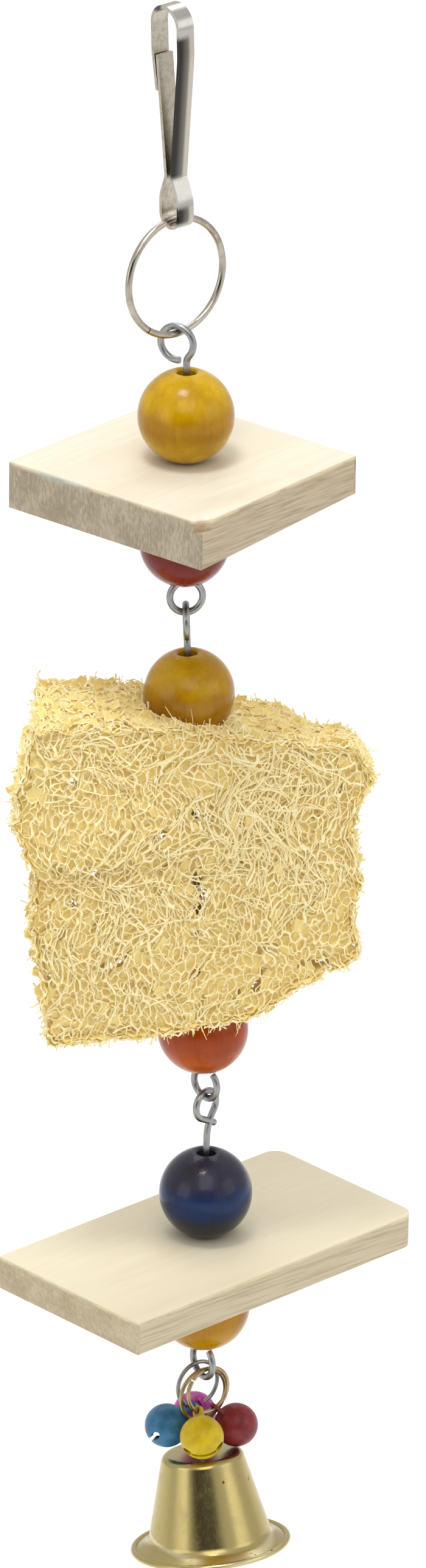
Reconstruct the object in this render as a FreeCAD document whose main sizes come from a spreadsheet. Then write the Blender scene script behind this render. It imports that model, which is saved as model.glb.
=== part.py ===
# Hanging bird chew toy: a spring clip and a ring carry three bent wires, linked eye to eye.
# Beads, two boards and a loofah slab are strung on the wires, and a cone bell with four small
# jingle bells hangs from the last eye.
# Millimetres. Z is up, X to the right, Y away from the viewer. The origin is on the axis of the
# clip's top bend, where the toy is hung, and the chain hangs down -Z.
import FreeCAD, Part
import Sketcher
import math
import os
import random

Vector = FreeCAD.Vector
Placement = FreeCAD.Placement
Rotation = FreeCAD.Rotation
X_AXIS = Vector(1, 0, 0)
Y_AXIS = Vector(0, 1, 0)
Z_AXIS = Vector(0, 0, 1)

doc = FreeCAD.newDocument("bird_toy")

# Driving sizes. A drop is a distance below a piece's own top, a rise is one above the lowest
# point of the clip's loop, a turn is an angle about Z, and a room is the straight wire left free
# above what is strung on a link.
SIZES = {
    # spring clip, one bent strip, sizes to its inner face
    "strip_thick": 0.8,
    "strip_width": 3.8,
    "clip_half": 3.65,
    "shoulder_drop": 6.0,
    "shoulder_bend": 18.0,
    "outer_end_drop": 14.0,
    "waist_rise": 10.1,
    "waist_half": 0.45,
    "waist_bend": 1.6,
    "loop_side_rise": 5.6,
    "loop_side_bend": 8.0,
    "loop_half": 2.35,
    "loop_drop": 41.9,
    "tongue_tip_drop": 6.5,
    "tongue_gap": 0.08,
    "clip_turn": -51.0,
    # hanging ring
    "ring_outer": 25.8,
    "ring_wire": 1.45,
    "ring_slit": 1.2,
    "ring_slit_place": 232.0,
    "ring_drift": 0.6,
    # bent wires and their eyes
    "wire_thick": 1.45,
    "link_gap": 0.06,
    "top_room": 7.92,
    "top_lean": -1.9,
    "top_upper_radius": 3.6,
    "top_upper_offset": 2.2,
    "top_upper_neck": 2.5,
    "top_upper_turn": -25.0,
    "top_upper_opening": 0.1,
    "top_upper_tail": 0.0,
    "top_lower_radius": 3.4,
    "top_lower_offset": 0.5,
    "top_lower_neck": 1.7,
    "top_lower_turn": 10.0,
    "top_lower_opening": 1.6,
    "top_lower_tail": 0.0,
    "middle_room": 9.0,
    "middle_lean": 0.9,
    "middle_upper_radius": 3.4,
    "middle_upper_offset": 0.3,
    "middle_upper_neck": 3.0,
    "middle_upper_turn": 90.0,
    "middle_upper_opening": 0.1,
    "middle_upper_tail": 0.0,
    "middle_lower_radius": 3.3,
    "middle_lower_offset": 0.2,
    "middle_lower_neck": 1.7,
    "middle_lower_turn": -45.0,
    "middle_lower_opening": 1.4,
    "middle_lower_tail": 0.0,
    "lower_room": 12.57,
    "lower_lean": -2.2,
    "lower_upper_radius": 3.1,
    "lower_upper_offset": 0.4,
    "lower_upper_neck": 10.0,
    "lower_upper_turn": 48.0,
    "lower_upper_opening": 1.5,
    "lower_upper_tail": 4.6,
    "lower_lower_radius": 3.6,
    "lower_lower_offset": 0.2,
    "lower_lower_neck": 1.7,
    "lower_lower_turn": -56.0,
    "lower_lower_opening": 1.4,
    "lower_lower_tail": 0.0,
    # beads and boards
    "bead_bore": 4.0,
    "bead_rim": 0.35,
    "bead_flat_share": 0.95,
    "stack_gap": 0.12,
    "upper_yellow_bead_size": 19.75,
    "red_bead_size": 18.5,
    "middle_yellow_bead_size": 18.7,
    "orange_bead_size": 19.0,
    "blue_bead_size": 19.5,
    "lower_yellow_bead_size": 19.6,
    "top_seat": 6.6,
    "middle_seat": 6.75,
    "lower_seat": 7.45,
    "board_bore": 2.6,
    "board_edge": 0.4,
    "square_width": 51.2,
    "square_depth": 49.8,
    "square_slant": 1.4,
    "square_thick": 10.0,
    "square_taper": 1.8,
    "square_chip": 2.4,
    "square_chip_run": 3.8,
    "square_chip_bite": 1.1,
    "square_chip_step": 1.2,
    "square_turn": -41.0,
    "plank_width": 42.4,
    "plank_length": 80.0,
    "plank_thick": 7.2,
    "plank_corner": 3.5,
    "plank_hole_shift": 1.2,
    "plank_turn": -47.0,
    # loofah slab
    "loofah_height": 57.4,
    "loofah_half_width": 37.0,
    "loofah_left_thick": 23.5,
    "loofah_right_thick": 15.5,
    "loofah_bulge": 3.0,
    "loofah_cell": 7.0,
    "loofah_back_cell": 11.0,
    "loofah_cell_depth": 3.4,
    "loofah_bore": 2.4,
    "loofah_seat_gap": 0.4,
    "loofah_turn": 12.0,
    # jump rings on the lowest eye
    "jump_wire": 0.9,
    "bell_ring_outer": 12.3,
    "jingle_ring_outer": 10.9,
    "jump_spacing": 1.9,
    "jump_turn": 34.0,
    "jump_gap": 0.16,
    "jump_slit": 3.0,
    "bell_slit_place": 40.0,
    "front_slit_place": 140.0,
    "back_slit_place": 60.0,
    # small jingle bells
    "jingle_size": 9.3,
    "jingle_wall": 0.5,
    "jingle_slit": 0.8,
    "jingle_keyhole": 1.7,
    "jingle_tab_thick": 0.7,
    "jingle_tab_half": 1.27,
    "jingle_hole": 1.7,
    "jingle_neck": 1.75,
    "pellet_size": 3.0,
    "pellet_gap": 0.1,
    # where each jingle bell hangs: its place round the ring from the lowest point, the way it
    # leans out, how far, and the turn of its ball under the tab
    "yellow_place": -31.4,
    "yellow_heading": -82.9,
    "yellow_tilt": 59.0,
    "yellow_slit_turn": 41.7,
    "red_place": 22.0,
    "red_heading": 13.7,
    "red_tilt": 42.8,
    "red_slit_turn": 77.0,
    "blue_place": -26.4,
    "blue_heading": 195.5,
    "blue_tilt": 52.8,
    "blue_slit_turn": -45.6,
    "magenta_place": 8.7,
    "magenta_heading": 108.5,
    "magenta_tilt": 46.6,
    "magenta_slit_turn": 30.1,
    # cone bell, its hanger and clapper
    "bell_place": -12.2,
    "bell_drop": 7.2,
    "bell_height": 20.9,
    "bell_crown_half": 8.5,
    "bell_crown_bend": 1.6,
    "bell_waist_half": 13.1,
    "bell_waist_drop": 18.6,
    "bell_flare_bend": 2.4,
    "bell_mouth_half": 17.0,
    "bell_wall": 0.7,
    "bell_lip": 0.6,
    "bell_pitch": 9.0,
    "bell_roll": 4.0,
    "hanger_wire": 0.9,
    "hanger_radius": 1.25,
    "hanger_neck": 1.2,
    "hanger_opening": 0.1,
    "hanger_gap": 0.15,
    "hanger_below": 3.6,
    "clapper_ball": 5.0,
    "clapper_length": 10.0,
}

TINY = 1e-6

sheet = doc.addObject("Spreadsheet::Sheet", "Sizes")
for row, (alias, value) in enumerate(SIZES.items(), start=1):
    sheet.set("A%d" % row, alias)
    sheet.set("B%d" % row, str(value))
    sheet.setAlias("B%d" % row, alias)
doc.recompute()


def size(alias):
    """One driving size, read back from the sheet."""
    return float(sheet.get(alias))


subparts = []


def keep(item, label, placement=None):
    """Name a finished sub-part and put it in its place."""
    item.Label = label
    if placement is not None:
        item.Placement = placement
    subparts.append(item)
    return item


def turned(angle):
    """A rotation about Z, in degrees."""
    return Rotation(Z_AXIS, angle)


def level(direction):
    """A horizontal unit vector at this angle from X, in degrees."""
    return Vector(math.cos(math.radians(direction)), math.sin(math.radians(direction)), 0)


def shape_feature(name, shape):
    """A document object that holds a computed shape."""
    feature = doc.addObject("Part::Feature", name)
    feature.Shape = shape
    return feature


def bound(kind, name, **expressions):
    """A Part primitive whose properties are bound to expressions on the sheet."""
    item = doc.addObject(kind, name)
    for prop, expression in expressions.items():
        item.setExpression(prop, expression)
    return item


def rounded_path(corners):
    """A wire in the XZ plane through (x, z, radius) corners, each rounded by a tangent arc."""
    points = [Vector(x, 0, z) for x, z, _ in corners]
    edges = []
    start = points[0]
    for before, corner, after, (_, _, radius) in zip(points, points[1:], points[2:], corners[1:]):
        to_before = (before - corner).normalize()
        to_after = (after - corner).normalize()
        half = to_before.getAngle(to_after) / 2
        run = radius / math.tan(half)
        middle = (to_before + to_after).normalize()
        arc_start = corner + to_before * run
        arc_end = corner + to_after * run
        arc_middle = corner + middle * (radius / math.sin(half) - radius)
        if start.distanceToPoint(arc_start) > TINY:
            edges.append(Part.LineSegment(start, arc_start).toShape())
        edges.append(Part.Arc(arc_start, arc_middle, arc_end).toShape())
        start = arc_end
    edges.append(Part.LineSegment(start, points[-1]).toShape())
    return Part.Wire(edges)


def band(wire, thickness):
    """A face of even thickness along one side of an open wire."""
    inner = wire.makeOffset2D(-thickness, join=0, fill=False, openResult=True)
    ends = [(path.OrderedVertexes[0].Point, path.OrderedVertexes[-1].Point) for path in (wire, inner)]
    closing = [Part.LineSegment(*pair).toShape() for pair in zip(*ends)]
    return Part.Face(Part.Wire(Part.__sortEdges__(wire.Edges + inner.Edges + closing)))


def origin_plane(body, role):
    """A body's own origin plane, such as XZ_Plane."""
    return [item for item in body.Origin.OriginFeatures if item.Role == role][0]


def body_sketch(body, name, role):
    """A sketch on one of the body's origin planes."""
    sketch = body.newObject("Sketcher::SketchObject", name)
    sketch.AttachmentSupport = [(origin_plane(body, role), "")]
    sketch.MapMode = "FlatFace"
    return sketch


def bind_point(sketch, geometry, position, x_bound, y_bound):
    """Tie one point of a sketch to expressions for its two coordinates."""
    point = sketch.getPoint(geometry, position)
    for kind, value, expression in (("DistanceX", point.x, x_bound), ("DistanceY", point.y, y_bound)):
        index = sketch.addConstraint(
            Sketcher.Constraint(kind, -1, 1, geometry, position, value))
        sketch.setExpression("Constraints[%d]" % index, expression)


def bound_polygon(sketch, corners):
    """A closed outline of lines whose corners are pairs of expressions on the sheet."""
    values = [Vector(worth(x), worth(y), 0) for x, y in corners]
    count = len(values)
    for index in range(count):
        sketch.addGeometry(Part.LineSegment(values[index], values[(index + 1) % count]))
    for index in range(count):
        sketch.addConstraint(
            Sketcher.Constraint("Coincident", index, 2, (index + 1) % count, 1))
    for index, (x, y) in enumerate(corners):
        bind_point(sketch, index, 1, x, y)


def worth(expression):
    """The number that an expression on the sheet has now."""
    return float(sheet.evalExpression(expression.replace("Sizes.", "")))


def bound_circle(sketch, diameter):
    """A circle round the sketch's origin."""
    sketch.addGeometry(Part.Circle(Vector(0, 0, 0), Z_AXIS, worth(diameter) / 2))
    sketch.addConstraint(Sketcher.Constraint("Coincident", 0, 3, -1, 1))
    index = sketch.addConstraint(Sketcher.Constraint("Diameter", 0, worth(diameter)))
    sketch.setExpression("Constraints[%d]" % index, diameter)


# Spring clip: one flat strip. It starts at the outer end on the left, goes over the top bend,
# down the right limb to the waist, round the small loop and back up as the springy tongue,
# which lies just inside the outer end.
def spring_clip():
    half = size("clip_half")
    waist_drop = size("loop_drop") - size("waist_rise")
    waist = (size("waist_half"), -waist_drop)
    taper = (half - waist[0]) / (waist[1] + size("shoulder_drop"))
    outer_end = half + taper * (size("outer_end_drop") - size("shoulder_drop"))
    tongue_inset = size("strip_thick") + size("tongue_gap")
    tongue_slope = (outer_end - tongue_inset - waist[0]) / (waist_drop - size("outer_end_drop"))
    tongue_tip = waist[0] + tongue_slope * (waist_drop - size("tongue_tip_drop"))
    shoulder = (-size("shoulder_drop"), size("shoulder_bend"))
    side = (size("loop_side_rise") - size("loop_drop"), size("loop_side_bend"))
    loop = (-size("loop_drop"), size("loop_half"))
    path = rounded_path([
        (-outer_end, -size("outer_end_drop"), 0),
        (-half, *shoulder),
        (-half, half, half),
        (half, half, half),
        (half, *shoulder),
        (waist[0], waist[1], size("waist_bend")),
        (size("loop_half"), *side),
        (size("loop_half"), *loop),
        (-size("loop_half"), *loop),
        (-size("loop_half"), *side),
        (-waist[0], waist[1], size("waist_bend")),
        (-tongue_tip, -size("tongue_tip_drop"), 0),
    ])
    spine = shape_feature("clip_path", path)
    first = path.Edges[0]
    start = first.valueAt(first.FirstParameter)
    outward = first.tangentAt(first.FirstParameter).cross(Y_AXIS)
    inner = [start + Y_AXIS * (side * size("strip_width") / 2) for side in (-1, 1)]
    outer = [point + outward * size("strip_thick") for point in reversed(inner)]
    corners = inner + outer
    section = shape_feature("clip_section", Part.makePolygon(corners + corners[:1]))
    strip = doc.addObject("Part::Sweep", "clip_strip")
    strip.Sections = [section]
    strip.Spine = (spine, ["Edge%d" % (index + 1) for index in range(len(path.Edges))])
    strip.Solid = True
    keep(strip, "spring_clip", Placement(Vector(), turned(size("clip_turn"))))


# Round wire rings are split: the two ends of the wire meet with a fine slit between them.
def split_ring(name, centre, turn, radius, wire, slit, slit_place):
    ring = bound("Part::Torus", name, Radius1=radius, Radius2=wire, Angle3="360 - " + slit)
    upright = turned(turn).multiply(Rotation(X_AXIS, 90)).multiply(turned(slit_place))
    keep(ring, name, Placement(centre, upright))


def hanging_ring():
    """The ring swings in the clip's loop; returns the middle of its lowest wire."""
    turn = size("clip_turn") + 90
    radius = (size("ring_outer") - size("ring_wire")) / 2
    inside = radius - size("ring_wire") / 2
    sag = inside - math.sqrt(inside ** 2 - (size("strip_width") / 2 + size("ring_drift")) ** 2)
    top = -size("loop_drop") + size("link_gap") + sag + size("ring_wire") / 2
    centre = level(turn) * -size("ring_drift") + Z_AXIS * (top - radius)
    split_ring("hanging_ring", centre, turn, "(Sizes.ring_outer - Sizes.ring_wire) / 2",
               "Sizes.ring_wire / 2", "Sizes.ring_slit", size("ring_slit_place"))
    return centre - Z_AXIS * radius


# An eye is bent from the end of a straight wire: a short bend sideways, then the circle of the
# eye the other way round, which stops just before it meets the bend again.
# Its plane holds the wire's axis. The turn of that plane and the side of the bend are the eye's own.
class Eye:
    def __init__(self, radius, offset, neck, turn, opening, tail, wire):
        self.radius = radius
        self.offset = offset
        self.neck = neck
        self.turn = turn
        self.opening = opening
        self.tail = tail
        self.wire = wire
        self.reach = math.sqrt((radius + neck) ** 2 - (neck + offset) ** 2)

    def edges(self, tip, sense):
        """The eye's arcs from the straight wire outward; tip is the far point of its circle."""
        centre = (-self.offset, tip - sense * self.radius)
        bend = (self.neck, centre[1] - sense * self.reach)
        first = math.atan2(-self.reach, self.neck + self.offset)
        clear = self.neck + self.wire + self.opening
        apart = self.radius + self.neck
        closing = math.acos((self.radius ** 2 + apart ** 2 - clear ** 2) / (2 * self.radius * apart))
        last = first + 2 * math.pi - closing

        def on_circle(angle):
            return (centre[0] + self.radius * math.cos(angle),
                    centre[1] + sense * self.radius * math.sin(angle))

        def on_bend(angle):
            return (bend[0] + self.neck * math.cos(angle), bend[1] + sense * self.neck * math.sin(angle))

        def place(point):
            return level(self.turn) * (point[0] * sense) + Z_AXIS * point[1]

        made = [
            Part.Arc(place(on_bend(math.pi)), place(on_bend(math.pi + first / 2)),
                     place(on_bend(math.pi + first))).toShape(),
            Part.Arc(place(on_circle(first)), place(on_circle((first + last) / 2)),
                     place(on_circle(last))).toShape(),
        ]
        if self.tail:
            end = on_circle(last)
            run = (end[0] - self.tail * math.sin(last), end[1] + sense * self.tail * math.cos(last))
            made.append(Part.LineSegment(place(end), place(run)).toShape())
        return made

    def start(self, tip, sense):
        """Where the straight wire ends and the eye's bend begins."""
        return tip - sense * (self.radius + self.reach)

    def middle(self, sense):
        """Sideways place of the eye's far point."""
        return level(self.turn) * (-self.offset * sense)


def eye(prefix):
    """One eye of a link, from its sizes on the sheet."""
    names = ("radius", "offset", "neck", "turn", "opening", "tail")
    return Eye(*[size(prefix + "_" + name) for name in names], size("wire_thick"))


def round_wire(name, edges, thick):
    """A round wire swept along a path of straight runs and arcs."""
    spine = shape_feature(name + "_path", Part.Wire(edges))
    first = spine.Shape.Edges[0]
    heading = first.tangentAt(first.FirstParameter)
    section = bound("Part::Circle", name + "_section", Radius=thick + " / 2")
    section.Placement = Placement(first.valueAt(first.FirstParameter), Rotation(Z_AXIS, heading))
    sweep = doc.addObject("Part::Sweep", name)
    sweep.Sections = [section]
    sweep.Spine = (spine, ["Edge%d" % (index + 1) for index in range(len(spine.Shape.Edges))])
    sweep.Solid = True
    return sweep


def eyed_wire(name, upper, lower, top, bottom, thick):
    """A straight wire along Z with an eye at each end; top and bottom are the eyes' far points."""
    above = upper.edges(top, UPPER)
    below = lower.edges(bottom, LOWER)
    shaft = Part.LineSegment(Vector(0, 0, upper.start(top, UPPER)), Vector(0, 0, lower.start(bottom, LOWER)))
    return round_wire(name, above[::-1] + [shaft.toShape()] + below, thick)


# What is strung on each link, from the bottom up.
STRUNG = {
    "top": ("red_bead", "square_board", "upper_yellow_bead"),
    "middle": ("orange_bead", "loofah_slab", "middle_yellow_bead"),
    "lower": ("lower_yellow_bead", "rectangular_board", "blue_bead"),
}
UPPER = 1
LOWER = -1


def strung_height(name):
    """How much of the wire one strung piece takes up."""
    if name == "square_board":
        return size("square_thick") - size("square_taper") / 2
    if name == "rectangular_board":
        return size("plank_thick")
    if name == "loofah_slab":
        return size("loofah_height")
    return size(name + "_size") * size("bead_flat_share")


class Link:
    """A bent wire with what is strung on it, hung by its upper eye from the wire above."""

    def __init__(self, prefix, pivot):
        self.prefix = prefix
        self.upper = eye(prefix + "_upper")
        self.lower = eye(prefix + "_lower")
        stack = sum(strung_height(name) for name in STRUNG[prefix])
        gaps = size("stack_gap") * (len(STRUNG[prefix]) - 1)
        self.length = size(prefix + "_seat") + stack + gaps + size(prefix + "_room")
        self.top = size("wire_thick") + size("link_gap")
        lean = Rotation(Y_AXIS, -size(prefix + "_lean"))
        hook = self.upper.middle(UPPER)
        self.frame = Placement(pivot, lean).multiply(Placement(-hook, Rotation()))
        self.seat = -self.length + size(prefix + "_seat")

    def next_pivot(self):
        return self.frame.multVec(self.lower.middle(LOWER) - Z_AXIS * self.length)

    def place(self, height, turn=0.0, shift=Vector()):
        """Placement of a strung piece whose own origin is on the wire at this height."""
        stand = Placement(Z_AXIS * height, turned(turn)).multiply(Placement(shift, Rotation()))
        return self.frame.multiply(stand)

    def wire(self, name):
        made = eyed_wire(name, self.upper, self.lower, self.top, -self.length, "Sizes.wire_thick")
        keep(made, name, self.frame)


# Beads: turned wooden balls with small flats round the bore.
def bead(name, link, bottom):
    """One bead standing on this height of its wire; returns the height of its top."""
    across = "Sizes.%s_size" % name
    flat = "(%s * Sizes.bead_flat_share / 2)" % across
    body = doc.addObject("PartDesign::Body", name)
    sketch = body_sketch(body, name + "_profile", "XZ_Plane")
    half = worth(flat)
    radius = worth(across) / 2
    edge = math.sqrt(radius ** 2 - half ** 2)
    bore = size("bead_bore") / 2
    corners = [Vector(edge, half, 0), Vector(bore, half, 0), Vector(bore, -half, 0), Vector(edge, -half, 0)]
    for start, end in zip(corners, corners[1:]):
        sketch.addGeometry(Part.LineSegment(start, end))
    sketch.addGeometry(Part.Arc(corners[3], Vector(radius, 0, 0), corners[0]))
    for index in range(2):
        sketch.addConstraint(Sketcher.Constraint("Coincident", index, 2, index + 1, 1))
    sketch.addConstraint(Sketcher.Constraint("Coincident", 2, 2, 3, 1))
    sketch.addConstraint(Sketcher.Constraint("Coincident", 3, 2, 0, 1))
    sketch.addConstraint(Sketcher.Constraint("Coincident", 3, 3, -1, 1))
    bind_point(sketch, 1, 1, "Sizes.bead_bore / 2", flat)
    bind_point(sketch, 1, 2, "Sizes.bead_bore / 2", "-" + flat)
    for line in (0, 2):
        sketch.addConstraint(Sketcher.Constraint("Horizontal", line))
    index = sketch.addConstraint(Sketcher.Constraint("Radius", 3, radius))
    sketch.setExpression("Constraints[%d]" % index, across + " / 2")
    turning = body.newObject("PartDesign::Revolution", name + "_turning")
    turning.Profile = sketch
    turning.ReferenceAxis = (sketch, ["V_Axis"])
    turning.Angle = 360
    doc.recompute()
    rims = ["Edge%d" % (number + 1) for number, edge in enumerate(turning.Shape.Edges)
            if isinstance(edge.Curve, Part.Circle) and abs(edge.Curve.Radius - bore) < TINY]
    rim = body.newObject("PartDesign::Chamfer", name + "_rim")
    rim.Base = (turning, rims)
    rim.setExpression("Size", "Sizes.bead_rim")
    keep(body, name, link.place(bottom + half))
    return bottom + 2 * half


# Boards: sawn softwood with eased edges, drilled for the wire.
def square_board(link, bottom):
    """The square board, a wedge in thickness, its right end sawn slanting and a corner chipped."""
    name = "square_board"
    body = doc.addObject("PartDesign::Body", name)
    half_x = "Sizes.square_width / 2"
    half_y = "Sizes.square_depth / 2"
    outline = body_sketch(body, "square_outline", "XY_Plane")
    bound_polygon(outline, [
        ("-" + half_x, "-" + half_y), (half_x, "-" + half_y),
        (half_x + " - Sizes.square_slant", half_y), ("-" + half_x, half_y)])
    slab = body.newObject("PartDesign::Pad", "square_slab")
    slab.Profile = outline
    slab.setExpression("Length", "Sizes.square_thick")
    taper = body_sketch(body, "square_taper_cut", "YZ_Plane")
    bound_polygon(taper, [
        ("-%s - Sizes.board_edge" % half_y, "0 * Sizes.square_taper"),
        (half_y + " + Sizes.board_edge", "Sizes.square_taper"),
        (half_y + " + Sizes.board_edge", "-Sizes.square_thick"),
        ("-%s - Sizes.board_edge" % half_y, "-Sizes.square_thick")])
    wedge = body.newObject("PartDesign::Pocket", "square_wedge")
    wedge.Profile = taper
    wedge.Type = "ThroughAll"
    wedge.Midplane = True
    chip = body_sketch(body, "square_chip_cut", "XY_Plane")
    bound_polygon(chip, [
        (half_x, "-%s - Sizes.board_edge" % half_y), (half_x, "-%s + Sizes.square_chip_run" % half_y),
        (half_x + " - Sizes.square_chip_bite", "-%s + Sizes.square_chip_step" % half_y),
        (half_x + " - Sizes.square_chip", "-%s - Sizes.board_edge" % half_y)])
    chip.setExpression("AttachmentOffset.Base.z", "Sizes.square_thick")
    chipped = body.newObject("PartDesign::Pocket", "square_chipped")
    chipped.Profile = chip
    chipped.setExpression("Length", "Sizes.square_chip")
    drill(body, "square", "Sizes.square_thick")
    seat = bottom - size("square_taper") / 2
    keep(body, name, link.place(seat, size("square_turn")))
    return seat + size("square_thick")


def drill(body, name, depth, shift="0 mm"):
    """The hole for the wire, drilled down from the board's top."""
    hole = body_sketch(body, name + "_hole", "XY_Plane")
    bound_circle(hole, "Sizes.board_bore")
    hole.setExpression("AttachmentOffset.Base.z", depth)
    hole.setExpression("AttachmentOffset.Base.x", shift)
    drilled = body.newObject("PartDesign::Pocket", name + "_drilled")
    drilled.Profile = hole
    drilled.Type = "ThroughAll"


def rectangular_board(link, bottom):
    """The long board, with rounded far corners and its hole a little off centre."""
    name = "rectangular_board"
    body = doc.addObject("PartDesign::Body", name)
    half_x = "Sizes.plank_width / 2"
    half_y = "Sizes.plank_length / 2"
    outline = body_sketch(body, "plank_outline", "XY_Plane")
    bound_polygon(outline, [
        ("-" + half_x, "-" + half_y), (half_x, "-" + half_y), (half_x, half_y), ("-" + half_x, half_y)])
    slab = body.newObject("PartDesign::Pad", "plank_slab")
    slab.Profile = outline
    slab.setExpression("Length", "Sizes.plank_thick")
    doc.recompute()
    far = size("plank_length") / 2
    corners = ["Edge%d" % (number + 1) for number, edge in enumerate(slab.Shape.Edges)
               if abs(edge.BoundBox.YMin - far) < TINY and edge.BoundBox.XLength < TINY]
    rounded = body.newObject("PartDesign::Fillet", "plank_corners")
    rounded.Base = (slab, corners)
    rounded.setExpression("Radius", "Sizes.plank_corner")
    drill(body, "plank", "Sizes.plank_thick", "-Sizes.plank_hole_shift")
    shift = X_AXIS * size("plank_hole_shift")
    keep(body, name, link.place(bottom, size("plank_turn"), shift))
    return bottom + size("plank_thick")


# Loofah: a slab cut from a dried gourd. Its outline, its tapering thickness and its creased
# bulge are three crossing prisms. The fibre net shows as cells sunk into both faces.
# Outline points are shares of the half width and of the height, from the top left, clockwise.
LOOFAH_OUTLINE = (
    (-0.90, 0.10), (-0.68, 0.12), (-0.14, 0.06), (0.27, 0.02), (0.68, -0.02), (0.97, -0.03),
    (1.01, -0.11), (0.91, -0.30), (0.93, -0.48), (0.91, -0.68), (0.94, -0.80), (0.76, -0.89),
    (0.49, -0.97), (0.22, -1.04), (-0.22, -1.11), (-0.54, -1.13), (-0.79, -1.14), (-0.84, -0.88),
    (-0.90, -0.68), (-0.88, -0.48), (-0.94, -0.38), (-0.99, -0.27), (-0.95, -0.10))
# The crease runs across at this share of the height. The slab leans in from it by these shares
# of the bulge, and the prisms run past the outline by the overrun.
LOOFAH_CREASE = 0.38
LOOFAH_OVERRUN = 1.2
LOOFAH_FRONT_TOP = 1.4
LOOFAH_BACK_TOP = 1.8
LOOFAH_BACK_BOTTOM = 1.2
# Cells of the net, as shares of their pitch. Each draws its own place, turn, size and depth.
CELL_SEED = 11
CELL_SIDES = 6
CELL_ROW = 0.86
CELL_DRIFT = 0.16
CELL_TURN = 14
CELL_REACH = (0.31, 0.42)
CELL_TALL = 1.12
CELL_DEPTHS = (0.75, 1.25)
CELL_OVER_BORE = 0.6
CELL_TOP = 0.04
CELL_MARGIN = 0.8


def prism(points, along):
    """A straight block on a closed outline."""
    return Part.Face(Part.makePolygon(points + points[:1])).extrude(along)


def loofah_cells(block, half, height, deep):
    """Six-sided prisms that reach into both faces of the block, in staggered rows."""
    draw = random.Random(CELL_SEED)
    drift = (-CELL_DRIFT, CELL_DRIFT)
    turn = 360 / CELL_SIDES
    cells = []
    for face, pitch in ((-1, size("loofah_cell")), (1, size("loofah_back_cell"))):
        columns = int(half / pitch)
        for row in range(int(height / pitch / CELL_ROW) + 1):
            for column in range(-columns, columns + 1):
                x = (column + (row % 2) / 2 + draw.uniform(*drift)) * pitch
                z = CELL_TOP * height - (row + 1 / 2 + draw.uniform(*drift)) * pitch * CELL_ROW
                corners = []
                for corner in range(CELL_SIDES):
                    angle = math.radians(turn * (corner + 1 / 2) + draw.uniform(-CELL_TURN, CELL_TURN))
                    radius = pitch * draw.uniform(*CELL_REACH)
                    corners.append((x + radius * math.cos(angle), z + CELL_TALL * radius * math.sin(angle)))
                if not all(block.isInside(Vector(a, 0, b), CELL_MARGIN, True) for a, b in corners):
                    continue
                depth = size("loofah_cell_depth")
                if abs(x) < size("loofah_bore") + size("wire_thick"):
                    depth *= CELL_OVER_BORE
                else:
                    depth *= draw.uniform(*CELL_DEPTHS)
                ray = Part.makeLine(Vector(x, face * 2 * deep, z), Vector(x, 0, z))
                surface = max(abs(vertex.Point.y) for vertex in ray.common(block).Vertexes)
                floor = [Vector(a, face * (surface - depth), b) for a, b in corners]
                cells.append(prism(floor, Y_AXIS * face * (2 * deep - surface + depth)))
    return cells


def loofah_slab(link, top, bead_above, bead_below):
    """The slab skewered by the wire from its top edge to its bottom edge."""
    half = size("loofah_half_width")
    height = size("loofah_height")
    left = size("loofah_left_thick") / 2
    right = size("loofah_right_thick") / 2
    bulge = size("loofah_bulge")
    deep = left + bulge
    outline = prism([Vector(x * half, -2 * deep, z * height) for x, z in LOOFAH_OUTLINE], Y_AXIS * 4 * deep)
    wide = LOOFAH_OVERRUN * half
    tall = LOOFAH_OVERRUN * height
    plan = prism([
        Vector(-wide, -left - bulge, -tall), Vector(wide, -right - bulge, -tall),
        Vector(wide, right, -tall), Vector(-wide, left, -tall)], Z_AXIS * 2 * tall)
    crease = -LOOFAH_CREASE * height
    above = tall / CELL_SIDES
    side = prism([
        Vector(-wide, -deep + LOOFAH_FRONT_TOP * bulge, above), Vector(-wide, -deep, crease),
        Vector(-wide, -deep + bulge, -tall), Vector(-wide, deep - LOOFAH_BACK_BOTTOM * bulge, -tall),
        Vector(-wide, deep - bulge, crease), Vector(-wide, deep - LOOFAH_BACK_TOP * bulge, above)],
        X_AXIS * 2 * wide)
    block = doc.addObject("Part::MultiCommon", "loofah_block")
    block.Shapes = [shape_feature("loofah_" + word, shape)
                    for word, shape in (("front", outline), ("plan", plan), ("side", side))]
    doc.recompute()

    cells = loofah_cells(block.Shape, half, height, deep)
    bore = Part.makeCylinder(size("loofah_bore") / 2, 3 * height, Vector(0, 0, -2 * height))
    seat_gap = size("loofah_seat_gap")
    seats = []
    for name, height_of_flat, sense in ((bead_above, 0.0, 1), (bead_below, -height, -1)):
        radius = size(name + "_size") / 2
        centre = height_of_flat + sense * (radius * size("bead_flat_share") + size("stack_gap"))
        seats.append(Part.makeSphere(radius + seat_gap, Vector(0, 0, centre)))
    tools = shape_feature("loofah_openings", Part.makeCompound(cells + [bore] + seats))
    slab = doc.addObject("Part::Cut", "loofah_slab")
    slab.Base = block
    slab.Tool = tools
    keep(slab, "loofah_slab", link.place(top, size("loofah_turn")))
    return top - height


# The chain, from the clip down. Each link hangs with its lower eye under its upper one.
def top_link(pivot):
    link = Link("top", pivot)
    link.wire("upper_eye_wire")
    top = bead("red_bead", link, link.seat)
    top = square_board(link, top + size("stack_gap"))
    bead("upper_yellow_bead", link, top + size("stack_gap"))
    return link.next_pivot()


def middle_link(pivot):
    link = Link("middle", pivot)
    link.wire("middle_eye_wire")
    top = bead("orange_bead", link, link.seat)
    loofah_top = top + size("stack_gap") + size("loofah_height")
    loofah_slab(link, loofah_top, "middle_yellow_bead", "orange_bead")
    bead("middle_yellow_bead", link, loofah_top + size("stack_gap"))
    return link.next_pivot()


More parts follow.
